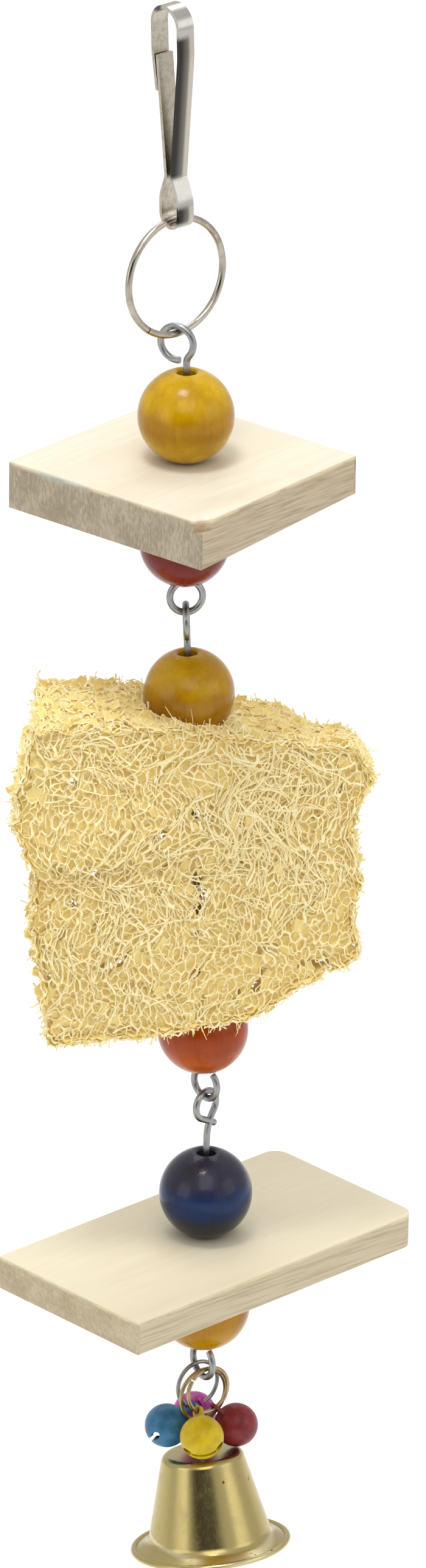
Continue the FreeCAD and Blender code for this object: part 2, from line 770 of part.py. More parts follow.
def lower_link(pivot):
    link = Link("lower", pivot)
    link.wire("lower_eye_wire")
    top = bead("lower_yellow_bead", link, link.seat)
    top = rectangular_board(link, top + size("stack_gap"))
    bead("blue_bead", link, top + size("stack_gap"))
    return link.next_pivot()


# Jump rings: three side by side on the bottom of the lowest eye.
def jump_ring(word, name, pivot, outer, step):
    """One jump ring hung on the eye, so many steps along it; returns its centre."""
    along = level(size("lower_lower_turn"))
    sideways = step * size("jump_spacing")
    reach = (size("wire_thick") + size("jump_wire")) / 2 + size("jump_gap")
    inside = size("lower_lower_radius") - reach
    rise = inside - math.sqrt(inside ** 2 - sideways ** 2)
    radius = (size(outer) - size("jump_wire")) / 2
    centre = pivot + along * sideways + Z_AXIS * (reach + rise - radius)
    split_ring(name, centre, size("jump_turn"), "(Sizes.%s - Sizes.jump_wire) / 2" % outer,
               "Sizes.jump_wire / 2", "Sizes.jump_slit", size(word + "_slit_place"))
    return centre


def on_ring(centre, outer, place):
    """The middle of a jump ring's wire, this far round it from its lowest point."""
    radius = (size(outer) - size("jump_wire")) / 2
    angle = math.radians(size(place))
    across = level(size("jump_turn")) * (radius * math.sin(angle))
    return centre + across - Z_AXIS * (radius * math.cos(angle))


# Jingle bells: a hollow ball with a keyhole slit below and a flat pierced tab above.
# The bell's own origin is the middle of the tab's hole, and the ball is straight below it.
# The slit's length and the keyholes' places are shares of the ball's diameter.
JINGLE_SLIT_REACH = 0.42
JINGLE_KEYHOLE_REACH = 0.36


def jingle_bell(colour, ring_centre):
    """One jingle bell with its pellet on a jump ring; returns where its tab hangs."""
    name = colour + "_jingle_bell"
    body = doc.addObject("PartDesign::Body", name)
    outer = size("jingle_size") / 2
    inner = outer - size("jingle_wall")
    centre = -size("jingle_neck") - outer
    ball = body_sketch(body, colour + "_ball_profile", "XZ_Plane")
    ends = [Vector(0, centre + radius, 0) for radius in (outer, inner, -inner, -outer)]
    ball.addGeometry(Part.Arc(ends[3], Vector(outer, centre, 0), ends[0]))
    ball.addGeometry(Part.LineSegment(ends[0], ends[1]))
    ball.addGeometry(Part.Arc(ends[2], Vector(inner, centre, 0), ends[1]))
    ball.addGeometry(Part.LineSegment(ends[2], ends[3]))
    for first, first_end, second, second_end in ((0, 2, 1, 1), (1, 2, 2, 2), (2, 1, 3, 1), (3, 2, 0, 1)):
        ball.addConstraint(Sketcher.Constraint("Coincident", first, first_end, second, second_end))
    bind_point(ball, 0, 3, "0 mm", "-Sizes.jingle_neck - Sizes.jingle_size / 2")
    ball.addConstraint(Sketcher.Constraint("Coincident", 0, 3, 2, 3))
    ball.addConstraint(Sketcher.Constraint("PointOnObject", 1, 1, -2))
    ball.addConstraint(Sketcher.Constraint("PointOnObject", 1, 2, -2))
    ball.addConstraint(Sketcher.Constraint("PointOnObject", 3, 1, -2))
    ball.addConstraint(Sketcher.Constraint("PointOnObject", 3, 2, -2))
    for index, radius in ((0, "Sizes.jingle_size / 2"), (2, "Sizes.jingle_size / 2 - Sizes.jingle_wall")):
        mark = ball.addConstraint(Sketcher.Constraint("Radius", index, worth(radius)))
        ball.setExpression("Constraints[%d]" % mark, radius)
    shell = body.newObject("PartDesign::Revolution", colour + "_shell")
    shell.Profile = ball
    shell.ReferenceAxis = (ball, ["V_Axis"])
    shell.Angle = 360
    slit = body_sketch(body, colour + "_slit_profile", "XY_Plane")
    slit_turn = turned(size(colour + "_slit_turn"))
    slit.AttachmentOffset = Placement(Z_AXIS * centre, slit_turn)
    half_slit = "Sizes.jingle_slit / 2"
    span = "%g * Sizes.jingle_size" % JINGLE_SLIT_REACH
    bound_polygon(slit, [("-" + half_slit, "-" + span), (half_slit, "-" + span),
                         (half_slit, span), ("-" + half_slit, span)])
    cut = body.newObject("PartDesign::Pocket", colour + "_slit")
    cut.Profile = slit
    cut.setExpression("Length", "Sizes.jingle_size")
    for word, side in (("near", -1), ("far", 1)):
        keyhole = body_sketch(body, "%s_%s_keyhole" % (colour, word), "XY_Plane")
        bound_circle(keyhole, "Sizes.jingle_keyhole")
        beside = slit_turn.multVec(Y_AXIS) * (side * JINGLE_KEYHOLE_REACH * size("jingle_size"))
        keyhole.AttachmentOffset = Placement(beside + Z_AXIS * centre, Rotation())
        pierced = body.newObject("PartDesign::Pocket", "%s_%s_pierced" % (colour, word))
        pierced.Profile = keyhole
        pierced.setExpression("Length", "Sizes.jingle_size")
    tab = body_sketch(body, colour + "_tab_profile", "YZ_Plane")
    half_tab = size("jingle_tab_half")
    foot = -size("jingle_neck") - size("jingle_wall") / 2
    corners = [Vector(-half_tab, 0, 0), Vector(-half_tab, foot, 0),
               Vector(half_tab, foot, 0), Vector(half_tab, 0, 0)]
    for start, end in zip(corners, corners[1:]):
        tab.addGeometry(Part.LineSegment(start, end))
    tab.addGeometry(Part.Arc(corners[3], Vector(0, half_tab, 0), corners[0]))
    tab.addGeometry(Part.Circle(Vector(0, 0, 0), Z_AXIS, size("jingle_hole") / 2))
    plate = body.newObject("PartDesign::Pad", colour + "_tab")
    plate.Profile = tab
    plate.setExpression("Length", "Sizes.jingle_tab_thick")
    plate.Midplane = True

    across = level(size("jump_turn"))
    place = math.radians(size(colour + "_place"))
    tilt = math.radians(size(colour + "_tilt"))
    hole = on_ring(ring_centre, "jingle_ring_outer", colour + "_place")
    tangent = across * math.cos(place) + Z_AXIS * math.sin(place)
    up = Z_AXIS * math.cos(tilt) - level(size(colour + "_heading")) * math.sin(tilt)
    hole_axis = (tangent - up * tangent.dot(up)).normalize()
    stance = Rotation(hole_axis, up.cross(hole_axis), up, "XYZ")
    keep(body, name, Placement(hole, stance))

    pellet = bound("Part::Sphere", colour + "_pellet", Radius="Sizes.pellet_size / 2")
    rest = inner - size("pellet_size") / 2 - size("pellet_gap")
    middle = Placement(hole, stance).multVec(Z_AXIS * centre)
    keep(pellet, colour + "_pellet", Placement(middle - Z_AXIS * rest, Rotation()))
    return hole


# Cone bell: spun brass sheet with a rounded crown, a flared mouth and a rolled lip.
# Its own origin is the middle of the ring wire that carries its hanger.
def cone_bell(pivot):
    drop = size("bell_drop")
    mouth = -drop - size("bell_height")
    lip = size("bell_lip")
    profile = rounded_path([
        (size("hanger_wire") / 2 + size("hanger_gap"), -drop, 0),
        (size("bell_crown_half"), -drop, size("bell_crown_bend")),
        (size("bell_waist_half"), -drop - size("bell_waist_drop"), size("bell_flare_bend")),
        (size("bell_mouth_half") - lip, mouth + lip, 0)])
    spun = doc.addObject("Part::Revolution", "bell_spinning")
    spun.Source = shape_feature("bell_section", band(profile, size("bell_wall")))
    spun.Axis = Z_AXIS
    spun.Angle = 360
    spun.Solid = True
    rolled = bound("Part::Torus", "bell_rolled_lip",
                   Radius1="Sizes.bell_mouth_half - Sizes.bell_lip", Radius2="Sizes.bell_lip")
    rolled.Placement = Placement(Z_AXIS * (mouth + lip), Rotation())
    shell = doc.addObject("Part::Fuse", "bell_shell")
    shell.Base = spun
    shell.Tool = rolled
    lean = Rotation(Y_AXIS, -size("bell_roll")).multiply(Rotation(X_AXIS, -size("bell_pitch")))
    frame = Placement(pivot, lean)
    keep(shell, "bell_shell", frame)

    thick = size("hanger_wire")
    radius = size("hanger_radius")
    across = size("jump_turn") + 90
    neck = size("hanger_neck")
    opening = size("hanger_opening")
    both = Eye(radius, 0, neck, across, opening, 0, thick)
    top = (size("jump_wire") + thick) / 2 + size("link_gap")
    bottom = -drop - size("bell_wall") - size("hanger_below")
    hanger = eyed_wire("bell_hanger", both, both, top, bottom, "Sizes.hanger_wire")
    keep(hanger, "bell_hanger", frame)

    clapper_pivot = frame.multVec(Z_AXIS * bottom)
    clapper_eye = Eye(radius, 0, neck, size("jump_turn"), opening, 0, thick)
    clapper_top = thick + size("hanger_gap")
    ball_height = clapper_top - size("clapper_length")
    made = clapper_eye.edges(clapper_top, UPPER)
    stem = Part.LineSegment(Vector(0, 0, clapper_eye.start(clapper_top, UPPER)), Vector(0, 0, ball_height))
    rod = round_wire("clapper_rod", made[::-1] + [stem.toShape()], "Sizes.hanger_wire")
    ball = bound("Part::Sphere", "clapper_knob", Radius="Sizes.clapper_ball / 2")
    ball.Placement = Placement(Z_AXIS * ball_height, Rotation())
    clapper = doc.addObject("Part::Fuse", "clapper")
    clapper.Base = rod
    clapper.Tool = ball
    keep(clapper, "clapper", Placement(clapper_pivot, Rotation()))
    return clapper_pivot


spring_clip()
ring_bottom = hanging_ring()
link_one = top_link(ring_bottom)
link_two = middle_link(link_one)
lowest_eye = lower_link(link_two)
bell_ring = jump_ring("bell", "bell_ring", lowest_eye, "bell_ring_outer", 0)
front_ring = jump_ring("front", "front_jingle_ring", lowest_eye, "jingle_ring_outer", 1)
back_ring = jump_ring("back", "back_jingle_ring", lowest_eye, "jingle_ring_outer", -1)
bell_pivot = on_ring(bell_ring, "bell_ring_outer", "bell_place")
pivots = {
    "ring bottom": ring_bottom,
    "first link": link_one,
    "second link": link_two,
    "lowest eye": lowest_eye,
    "bell ring": bell_ring,
    "front ring": front_ring,
    "back ring": back_ring,
    "yellow tab": jingle_bell("yellow", front_ring),
    "red tab": jingle_bell("red", front_ring),
    "blue tab": jingle_bell("blue", back_ring),
    "magenta tab": jingle_bell("magenta", back_ring),
    "cone bell": bell_pivot,
    "clapper": cone_bell(bell_pivot),
}

doc.recompute()

for item in doc.Objects:
    if "Invalid" in item.State or "Error" in item.State:
        raise RuntimeError("%s did not build: %s" % (item.Label, item.State))
for item in subparts:
    if item.Shape.isNull() or not item.Shape.isValid():
        raise RuntimeError("%s has no valid shape" % item.Label)

os.makedirs("parts", exist_ok=True)
for item in subparts:
    item.Shape.exportStep(os.path.join("parts", item.Label + ".step"))
    box = item.Shape.BoundBox
    print("%-22s %3d solid, %9.1f mm3, z %8.2f to %8.2f" % (
        item.Label, len(item.Shape.Solids), item.Shape.Volume, box.ZMin, box.ZMax))
for label, point in pivots.items():
    print("%-22s %9.3f %9.3f %9.3f" % (label, point.x, point.y, point.z))
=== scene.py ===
# %% [markdown]
# # A hanging bird chew toy
# The toy is a chain: a bright spring clip, a ring, and three bent wires that carry dyed wooden
# beads, two boards and a slab of loofah, with a brass cone bell and four small painted jingle
# bells at the bottom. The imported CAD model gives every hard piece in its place. This file gives
# each piece its finish, and models what a solid can't show: the fibre net of the loofah.
# Everything is in metres and in the frame of the CAD model.

# %% The frame
import math

import bpy
import numpy as np
from mathutils import Matrix, Vector


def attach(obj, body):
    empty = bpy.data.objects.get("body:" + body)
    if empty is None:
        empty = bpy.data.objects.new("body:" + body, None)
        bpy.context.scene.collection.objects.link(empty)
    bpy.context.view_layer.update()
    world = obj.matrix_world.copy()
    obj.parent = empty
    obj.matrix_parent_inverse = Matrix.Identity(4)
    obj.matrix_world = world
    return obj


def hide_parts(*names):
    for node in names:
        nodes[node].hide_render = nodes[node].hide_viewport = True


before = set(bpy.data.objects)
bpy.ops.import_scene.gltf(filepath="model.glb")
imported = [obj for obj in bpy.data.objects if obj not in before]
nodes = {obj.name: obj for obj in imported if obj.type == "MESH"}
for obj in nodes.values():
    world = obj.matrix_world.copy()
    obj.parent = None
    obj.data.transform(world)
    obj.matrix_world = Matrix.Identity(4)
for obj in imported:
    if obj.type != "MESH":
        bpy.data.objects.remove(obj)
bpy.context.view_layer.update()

MM = 0.001

# %% [markdown]
# ## The camera
# The photograph looks slightly down on the toy from far away, so its lines hardly converge. A long
# lens two metres away gives that. The photograph is rolled by a degree, as if the toy hung a
# little out of plumb, so the camera is rolled instead of the toy.

# %% Camera
CAMERA_ELEVATION = math.radians(23.1)
CAMERA_ROLL = math.radians(1.27)
CAMERA_PLACE = Vector((4.75, -1839.6, 620.5)) * MM
SENSOR_LONG_SIDE = 36.0
FOCAL_PIXELS, PHOTO_HEIGHT = 16000, 2576
FOCAL_LENGTH = SENSOR_LONG_SIDE * FOCAL_PIXELS / PHOTO_HEIGHT

ahead = Vector((0, math.cos(CAMERA_ELEVATION), -math.sin(CAMERA_ELEVATION)))
level_up = Vector((0, math.sin(CAMERA_ELEVATION), math.cos(CAMERA_ELEVATION)))
level_right = Vector((1, 0, 0))
right = math.cos(CAMERA_ROLL) * level_right - math.sin(CAMERA_ROLL) * level_up
upward = math.sin(CAMERA_ROLL) * level_right + math.cos(CAMERA_ROLL) * level_up

camera = bpy.data.objects.new("camera", bpy.data.cameras.new("camera"))
bpy.context.scene.collection.objects.link(camera)
camera.data.sensor_width = SENSOR_LONG_SIDE
camera.data.lens = FOCAL_LENGTH
camera.data.clip_start = 0.1
camera.data.clip_end = 50
turn = Matrix((right, upward, -ahead)).transposed()
camera.matrix_world = Matrix.Translation(CAMERA_PLACE) @ turn.to_4x4()
bpy.context.scene.camera = camera
print("camera at", tuple(CAMERA_PLACE), "lens", round(FOCAL_LENGTH, 1))

# %% [markdown]
# ## Floor and light
# The floor is a wide pale plane well under the bell. The light is that of a product shot: a small
# bright box overhead, which makes the tops of the boards nearly white, a large one in front, weak
# fills from both sides, and one that keeps the floor behind the toy white. Bright metal shows what
# stands round it, so the surroundings are white with one dark card in front, where a photographer
# stands. It draws the dark band in the bell.

# %% Helpers for meshes and nodes
def mesh_piece(name, points, faces, material=None, smooth=True):
    """An object at the origin from an array of points and one or more arrays of faces."""
    mesh = bpy.data.meshes.new(name)
    corners = [face for group in faces for face in group.tolist()]
    mesh.from_pydata(points.reshape(-1, 3).tolist(), [], corners)
    mesh.polygons.foreach_set("use_smooth", np.full(len(mesh.polygons), smooth))
    mesh.update()
    piece = bpy.data.objects.new(name, mesh)
    bpy.context.scene.collection.objects.link(piece)
    if material:
        mesh.materials.append(material)
    return piece


def add_node(tree, kind, inputs=None, **settings):
    """A shader node. Its inputs take values, or sockets to be linked."""
    node = tree.nodes.new("ShaderNode" + kind)
    for key, value in settings.items():
        setattr(node, key, value)
    for key, value in (inputs or {}).items():
        if isinstance(value, bpy.types.NodeSocket):
            tree.links.new(value, node.inputs[key])
        else:
            node.inputs[key].default_value = value
    return node


def noise(tree, vector, scale, detail=4.0, roughness=0.6, distortion=0.0):
    """Noise between 0 and 1 over a vector."""
    node = add_node(tree, "TexNoise", {"Vector": vector, "Scale": scale, "Detail": detail,
                                       "Roughness": roughness, "Distortion": distortion})
    return node.outputs["Fac"]


def ramp(tree, value, low, high, to_low=0.0, to_high=1.0):
    """A smooth step of a value from one range to another."""
    node = add_node(tree, "MapRange", {"Value": value, "From Min": low, "From Max": high,
                                       "To Min": to_low, "To Max": to_high},
                    interpolation_type="SMOOTHSTEP")
    return node.outputs["Result"]


def blend_colours(tree, factor, first, second, kind="MIX"):
    """One colour over another."""
    node = add_node(tree, "Mix", {"Factor": factor, "A": first, "B": second},
                    data_type="RGBA", blend_type=kind)
    return node.outputs["Result"]


def work_out(tree, operation, first, second=0.0):
    """Arithmetic on two values."""
    return add_node(tree, "Math", {0: first, 1: second}, operation=operation).outputs[0]


def mixture(tree, first, second, share):
    """Two values added up: a share of the first, and the rest of the second."""
    return work_out(tree, "ADD", work_out(tree, "MULTIPLY", first, share),
                    work_out(tree, "MULTIPLY", second, 1 - share))


def between(tree, value, low, high, soft):
    """A window of a value, with soft ends."""
    rise = ramp(tree, value, low - soft, low + soft)
    return work_out(tree, "MULTIPLY", rise, ramp(tree, value, high - soft, high + soft, 1.0, 0.0))


def stretched(tree, vector, scale, turn=(0, 0, 0)):
    """Object coordinates turned and then scaled unevenly, so that a pattern runs along one axis."""
    turned = add_node(tree, "Mapping", {"Vector": vector, "Rotation": turn})
    return add_node(tree, "Mapping", {"Vector": turned.outputs[0], "Scale": scale}).outputs[0]


def area_light(name, place, target, size, power):
    """A square soft box at a place, facing a target."""
    data = bpy.data.lights.new(name, "AREA")
    data.size = size
    data.energy = power
    lamp = bpy.data.objects.new(name, data)
    bpy.context.scene.collection.objects.link(lamp)
    lamp.location = place
    lamp.rotation_euler = (Vector(target) - Vector(place)).to_track_quat("-Z", "Y").to_euler()


# %% Floor, lights and surroundings
FLOOR_HEIGHT = -0.45
FLOOR_REACH = 6.0
TOY_MIDDLE = (0, 0, -0.17)

corners = np.array([(-1, -1), (1, -1), (1, 1), (-1, 1)], float) * FLOOR_REACH
floor_points = np.column_stack([corners, np.full(4, FLOOR_HEIGHT)])
floor_paint = bpy.data.materials.new("pale floor")
floor_paint.use_nodes = True
floor_shader = floor_paint.node_tree.nodes["Principled BSDF"]
floor_shader.inputs["Base Color"].default_value = (0.97, 0.97, 0.97, 1)
floor_shader.inputs["Roughness"].default_value = 0.8
floor = mesh_piece("floor", floor_points, [np.array([[0, 1, 2, 3]])], floor_paint)

# Each soft box: its place, what it faces, its width in metres and its power in watts.
SOFT_BOXES = {
    "overhead": ((-0.1, -0.25, 0.9), TOY_MIDDLE, 0.28, 4.8),
    "front": ((0.1, -1.3, 1.2), TOY_MIDDLE, 1.2, 7),
    "left_fill": ((-1.2, -0.7, 0.2), TOY_MIDDLE, 0.8, 2),
    "right_fill": ((1.3, -0.5, 0.3), TOY_MIDDLE, 0.8, 2),
    "backdrop": ((0, 1.4, 1.6), (0, 1.1, FLOOR_HEIGHT), 1.5, 14),
}
for name, (place, target, size, power) in SOFT_BOXES.items():
    area_light(name, place, target, size, power)

# The dark card's soft edges: two angles round from the front, in radians, and the sine of one above
# the horizon.
CARD_LEFT, CARD_RIGHT, CARD_TOP = (-0.78, -0.42), (0.24, 0.60), (0.35, 0.6)
SURROUNDINGS_STRENGTH = 0.75

world = bpy.data.worlds.new("studio")
bpy.context.scene.world = world
world.use_nodes = True
tree = world.node_tree
background = tree.nodes["Background"]
direction = add_node(tree, "TexCoord").outputs["Generated"]
direction = add_node(tree, "SeparateXYZ", {"Vector": direction}).outputs
from_front = work_out(tree, "ARCTAN2", direction["X"], work_out(tree, "MULTIPLY", direction["Y"], -1.0))
card = work_out(tree, "MULTIPLY", ramp(tree, from_front, *CARD_LEFT),
                ramp(tree, from_front, *CARD_RIGHT, 1.0, 0.0))
card = work_out(tree, "MULTIPLY", card, ramp(tree, direction["Z"], *CARD_TOP, 1.0, 0.0))
wash = blend_colours(tree, card, (1.0, 1.0, 1.0, 1), (0.01, 0.01, 0.011, 1))
tree.links.new(wash, background.inputs["Color"])
background.inputs["Strength"].default_value = SURROUNDINGS_STRENGTH
bpy.context.scene.view_settings.view_transform = "Standard"


# %% [markdown]
# ## Shared shader groups
# Wood, worn metal and the skin of dye or paint each appear on several pieces, so each has a node
# group with named inputs and outputs. A group puts out a colour and, where it is needed, a roughness
# and a height. The shader itself stays in the material.

# %% Building groups and materials
def new_group(name, inputs, outputs):
    """An empty shader group with typed sockets; returns its tree, input node and output node."""
    group = bpy.data.node_groups.new(name, "ShaderNodeTree")
    kinds = {"vector": "NodeSocketVector", "colour": "NodeSocketColor", "value": "NodeSocketFloat"}
    for side, sockets in (("INPUT", inputs), ("OUTPUT", outputs)):
        for word, kind in sockets.items():
            group.interface.new_socket(word, in_out=side, socket_type=kinds[kind])
    return group, group.nodes.new("NodeGroupInput"), group.nodes.new("NodeGroupOutput")


class Finish:
    """A material under construction, with its tree, its shader and its object coordinates."""

    def __init__(self, name, **fixed):
        self.material = bpy.data.materials.new(name)
        self.material.use_nodes = True
        self.tree = self.material.node_tree
        self.shader = self.tree.nodes["Principled BSDF"]
        self.place = add_node(self.tree, "TexCoord").outputs["Object"]
        for key, value in fixed.items():
            socket = key.replace("_", " ").title().replace("Ior", "IOR")
            self.shader.inputs[socket].default_value = value

    def use(self, group, inputs):
        """Place a shared group in this material."""
        return add_node(self.tree, "Group", inputs, node_tree=group).outputs

    def join(self, colour, roughness=None, height=None, relief=0.0):
        """Link the finished sockets to the shader; relief is the height's depth in metres."""
        for key, socket in (("Base Color", colour), ("Roughness", roughness)):
            if socket is not None:
                self.tree.links.new(socket, self.shader.inputs[key])
        if height is not None:
            bump = add_node(self.tree, "Bump", {"Height": height, "Strength": 1.0, "Distance": relief})
            self.tree.links.new(bump.outputs[0], self.shader.inputs["Normal"])
        return self.material


def dress(node, material):
    """Give a CAD node its finish."""
    piece = nodes[node]
    piece.data.materials.clear()
    piece.data.materials.append(material)


# %% Wood group
wood_group, wood_in, wood_out = new_group(
    "softwood", {"Vector": "vector", "Early": "colour", "Late": "colour", "Ring Size": "value",
                 "Ring Strength": "value", "Fibre": "value"}, {"Color": "colour"})
# In metres, how far the rings wander sideways and upward, and how far below the board's top the
# tree's pith lies. Then where in each ring the dark late wood ends.
RING_WANDER = (0.006, 0.004)
PITH_BELOW = 0.06
RING_EDGE = 0.97
tree = wood_group
along = wood_in.outputs["Vector"]
wander = noise(tree, stretched(tree, along, (60, 6, 60)), 1.0, 3)
shift = add_node(tree, "CombineXYZ", {"X": work_out(tree, "MULTIPLY", wander, RING_WANDER[0]),
                                      "Z": work_out(tree, "MULTIPLY", wander, RING_WANDER[1])})
wandering = add_node(tree, "VectorMath", {0: along, 1: shift.outputs[0]}, operation="ADD")
ring_place = add_node(tree, "SeparateXYZ", {"Vector": wandering.outputs[0]})
from_pith = add_node(tree, "CombineXYZ", {
    "X": ring_place.outputs["X"], "Z": work_out(tree, "ADD", ring_place.outputs["Z"], PITH_BELOW)})
radius = add_node(tree, "VectorMath", {0: from_pith.outputs[0]}, operation="LENGTH").outputs["Value"]
turns = work_out(tree, "FRACT", work_out(tree, "DIVIDE", radius, wood_in.outputs["Ring Size"]))
late = ramp(tree, turns, 0.35, RING_EDGE)
end = ramp(tree, turns, RING_EDGE, 1.0, 1.0, 0.0)
late = work_out(tree, "MULTIPLY", late, end)
late = work_out(tree, "MULTIPLY", late, wood_in.outputs["Ring Strength"])
fibre = noise(tree, stretched(tree, along, (2600, 90, 2600)), 1.0, 3, 0.7)
coarse = noise(tree, stretched(tree, along, (700, 22, 700)), 1.0, 4, 0.6)
streak = mixture(tree, fibre, coarse, 0.5)
shade = work_out(tree, "MULTIPLY", ramp(tree, streak, 0.36, 0.66), wood_in.outputs["Fibre"])
tone = work_out(tree, "MAXIMUM", late, shade)
colour = blend_colours(tree, tone, wood_in.outputs["Early"], wood_in.outputs["Late"])
tree.links.new(colour, wood_out.inputs["Color"])

# %% Worn metal group
metal_group, metal_in, metal_out = new_group(
    "worn metal", {"Vector": "vector", "Metal": "colour", "Tarnish": "colour", "Amount": "value",
                   "Gloss": "value", "Scratch": "value"},
    {"Color": "colour", "Roughness": "value", "Height": "value"})
tree = metal_group
where = metal_in.outputs["Vector"]
cloud = noise(tree, where, 260, 5, 0.65)
stain = work_out(tree, "MULTIPLY", ramp(tree, cloud, 0.45, 0.75), metal_in.outputs["Amount"])
tree.links.new(blend_colours(tree, stain, metal_in.outputs["Metal"], metal_in.outputs["Tarnish"]),
               metal_out.inputs["Color"])
hair = noise(tree, stretched(tree, where, (3000, 3000, 120)), 1.0, 2, 0.5)
dull = work_out(tree, "MULTIPLY", ramp(tree, hair, 0.4, 0.8), metal_in.outputs["Scratch"])
worn = work_out(tree, "ADD", dull, work_out(tree, "MULTIPLY", stain, 0.25))
rough = work_out(tree, "ADD", metal_in.outputs["Gloss"], worn)
tree.links.new(rough, metal_out.inputs["Roughness"])
scratches = work_out(tree, "MULTIPLY", hair, metal_in.outputs["Scratch"])
tree.links.new(scratches, metal_out.inputs["Height"])

# %% Dyed skin group
dye_group, dye_in, dye_out = new_group(
    "dyed skin", {"Vector": "vector", "Light": "colour", "Deep": "colour", "Scale": "value",
                  "Speckle": "value"},
    {"Color": "colour", "Height": "value"})
tree = dye_group
where = dye_in.outputs["Vector"]
blotch = noise(tree, where, dye_in.outputs["Scale"], 4, 0.55)
speckle = noise(tree, where, 2200, 2, 0.6)
grain = noise(tree, stretched(tree, where, (900, 900, 60)), 1.0, 4, 0.65)
depth = ramp(tree, mixture(tree, blotch, grain, 0.7), 0.36, 0.64)
base = blend_colours(tree, depth, dye_in.outputs["Light"], dye_in.outputs["Deep"])
dots = work_out(tree, "MULTIPLY", ramp(tree, speckle, 0.52, 0.72), dye_in.outputs["Speckle"])
tree.links.new(blend_colours(tree, dots, base, dye_in.outputs["Deep"]), dye_out.inputs["Color"])
tree.links.new(mixture(tree, grain, speckle, 0.7), dye_out.inputs["Height"])


# %% [markdown]
# ## The metals
# The clip is nickel-plated strip, the ring plated wire, the long wires dull drawn wire, and the
# cone bell thin brass with faint vertical brushing. The wires and the brass share the worn metal,
# each with its own colours and gloss. The clip's dark reflection is part of its colour, because a
# flat strip mirrors only one small part of the surroundings.

# %% Metals
METAL_RELIEF = 0.01 * MM


def metal(name, shine, tarnish, amount, gloss, scratch):
    """A worn metal from its bright and tarnished colours."""
    finish = Finish(name, metallic=1.0)
    out = finish.use(metal_group, {
        "Vector": finish.place, "Metal": (*shine, 1), "Tarnish": (*tarnish, 1), "Amount": amount,
        "Gloss": gloss, "Scratch": scratch})
    return finish.join(out["Color"], out["Roughness"], out["Height"], METAL_RELIEF)


plated_wire = metal("plated wire", (0.46, 0.42, 0.35), (0.20, 0.155, 0.10), 0.6, 0.2, 0.1)
dull_wire = metal("dull wire", (0.34, 0.345, 0.34), (0.18, 0.17, 0.15), 0.5, 0.28, 0.15)
bronze_wire = metal("bronze wire", (0.46, 0.36, 0.20), (0.20, 0.14, 0.07), 0.6, 0.3, 0.15)


def own_axes(finish, tilt, turn, middle=(0, 0, 0)):
    """Places along a piece's own axes, in metres, whole and split; the middle is in millimetres."""
    stance = Matrix.Rotation(math.radians(tilt), 3, "Y") @ Matrix.Rotation(math.radians(turn), 3, "Z")
    place = add_node(finish.tree, "Mapping", {
        "Vector": finish.place, "Rotation": tuple(stance.transposed().to_euler()),
        "Location": tuple(-value * MM for value in middle)})
    return place.outputs[0], add_node(finish.tree, "SeparateXYZ", {"Vector": place.outputs[0]}).outputs


CLIP_TURN = -51
# Heights on the clip, in metres: where the painted dark reflection runs down its long limb, where it
# comes again at the foot of the loop, and where the painted shade on the crown begins.
LIMB, FOOT, SHADED_CROWN = (-0.0318, -0.0015), (-0.0412, -0.0375), (0.0022, 0.0032)


def strip_plate():
    """Nickel on the clip: charcoal down one half of the long limb as a painted reflection, painted
    shade on the crown, and dull and brownish on the tongue.
    """
    finish = Finish("nickel plate", metallic=1.0)
    tree = finish.tree
    own, along = own_axes(finish, 0, CLIP_TURN)
    dusty = noise(tree, own, 900, 4, 0.7)
    tongue = blend_colours(tree, ramp(tree, dusty, 0.45, 0.62),
                           (0.50, 0.455, 0.38, 1), (0.41, 0.36, 0.28, 1))
    # Across the limb the reflection goes from charcoal at one edge to bright at the other.
    lit_edge = blend_colours(tree, ramp(tree, along["Y"], 0.0002, 0.0011),
                             (0.17, 0.158, 0.14, 1), (0.50, 0.46, 0.39, 1))
    reflection = blend_colours(tree, ramp(tree, along["Y"], -0.0016, 0.0005),
                               (0.04, 0.037, 0.033, 1), lit_edge)
    reflecting = work_out(tree, "MAXIMUM", between(tree, along["Z"], *LIMB, 0.0008),
                          between(tree, along["Z"], *FOOT, 0.0008))
    limb = blend_colours(tree, reflecting, (0.50, 0.48, 0.44, 1), reflection)
    colour = blend_colours(tree, ramp(tree, along["X"], 0.0002, 0.0008), tongue, limb)
    # The dark patch on the crown is painted shade.
    crown = work_out(tree, "MULTIPLY", ramp(tree, along["Z"], *SHADED_CROWN),
                     ramp(tree, along["X"], -0.0016, -0.0006, 1.0, 0.0))
    colour = blend_colours(tree, crown, colour, (0.09, 0.09, 0.13, 1))
    rough = work_out(tree, "ADD", 0.16, work_out(tree, "MULTIPLY", dusty, 0.2))
    return finish.join(colour, rough, dusty, 0.000015)


# The bell's axis in millimetres, and the foot and top of its faint ring in metres.
BELL_AXIS = (-1.22, -1.60, 0)
BELL_RING_HEIGHT = (-0.3335, -0.3328)


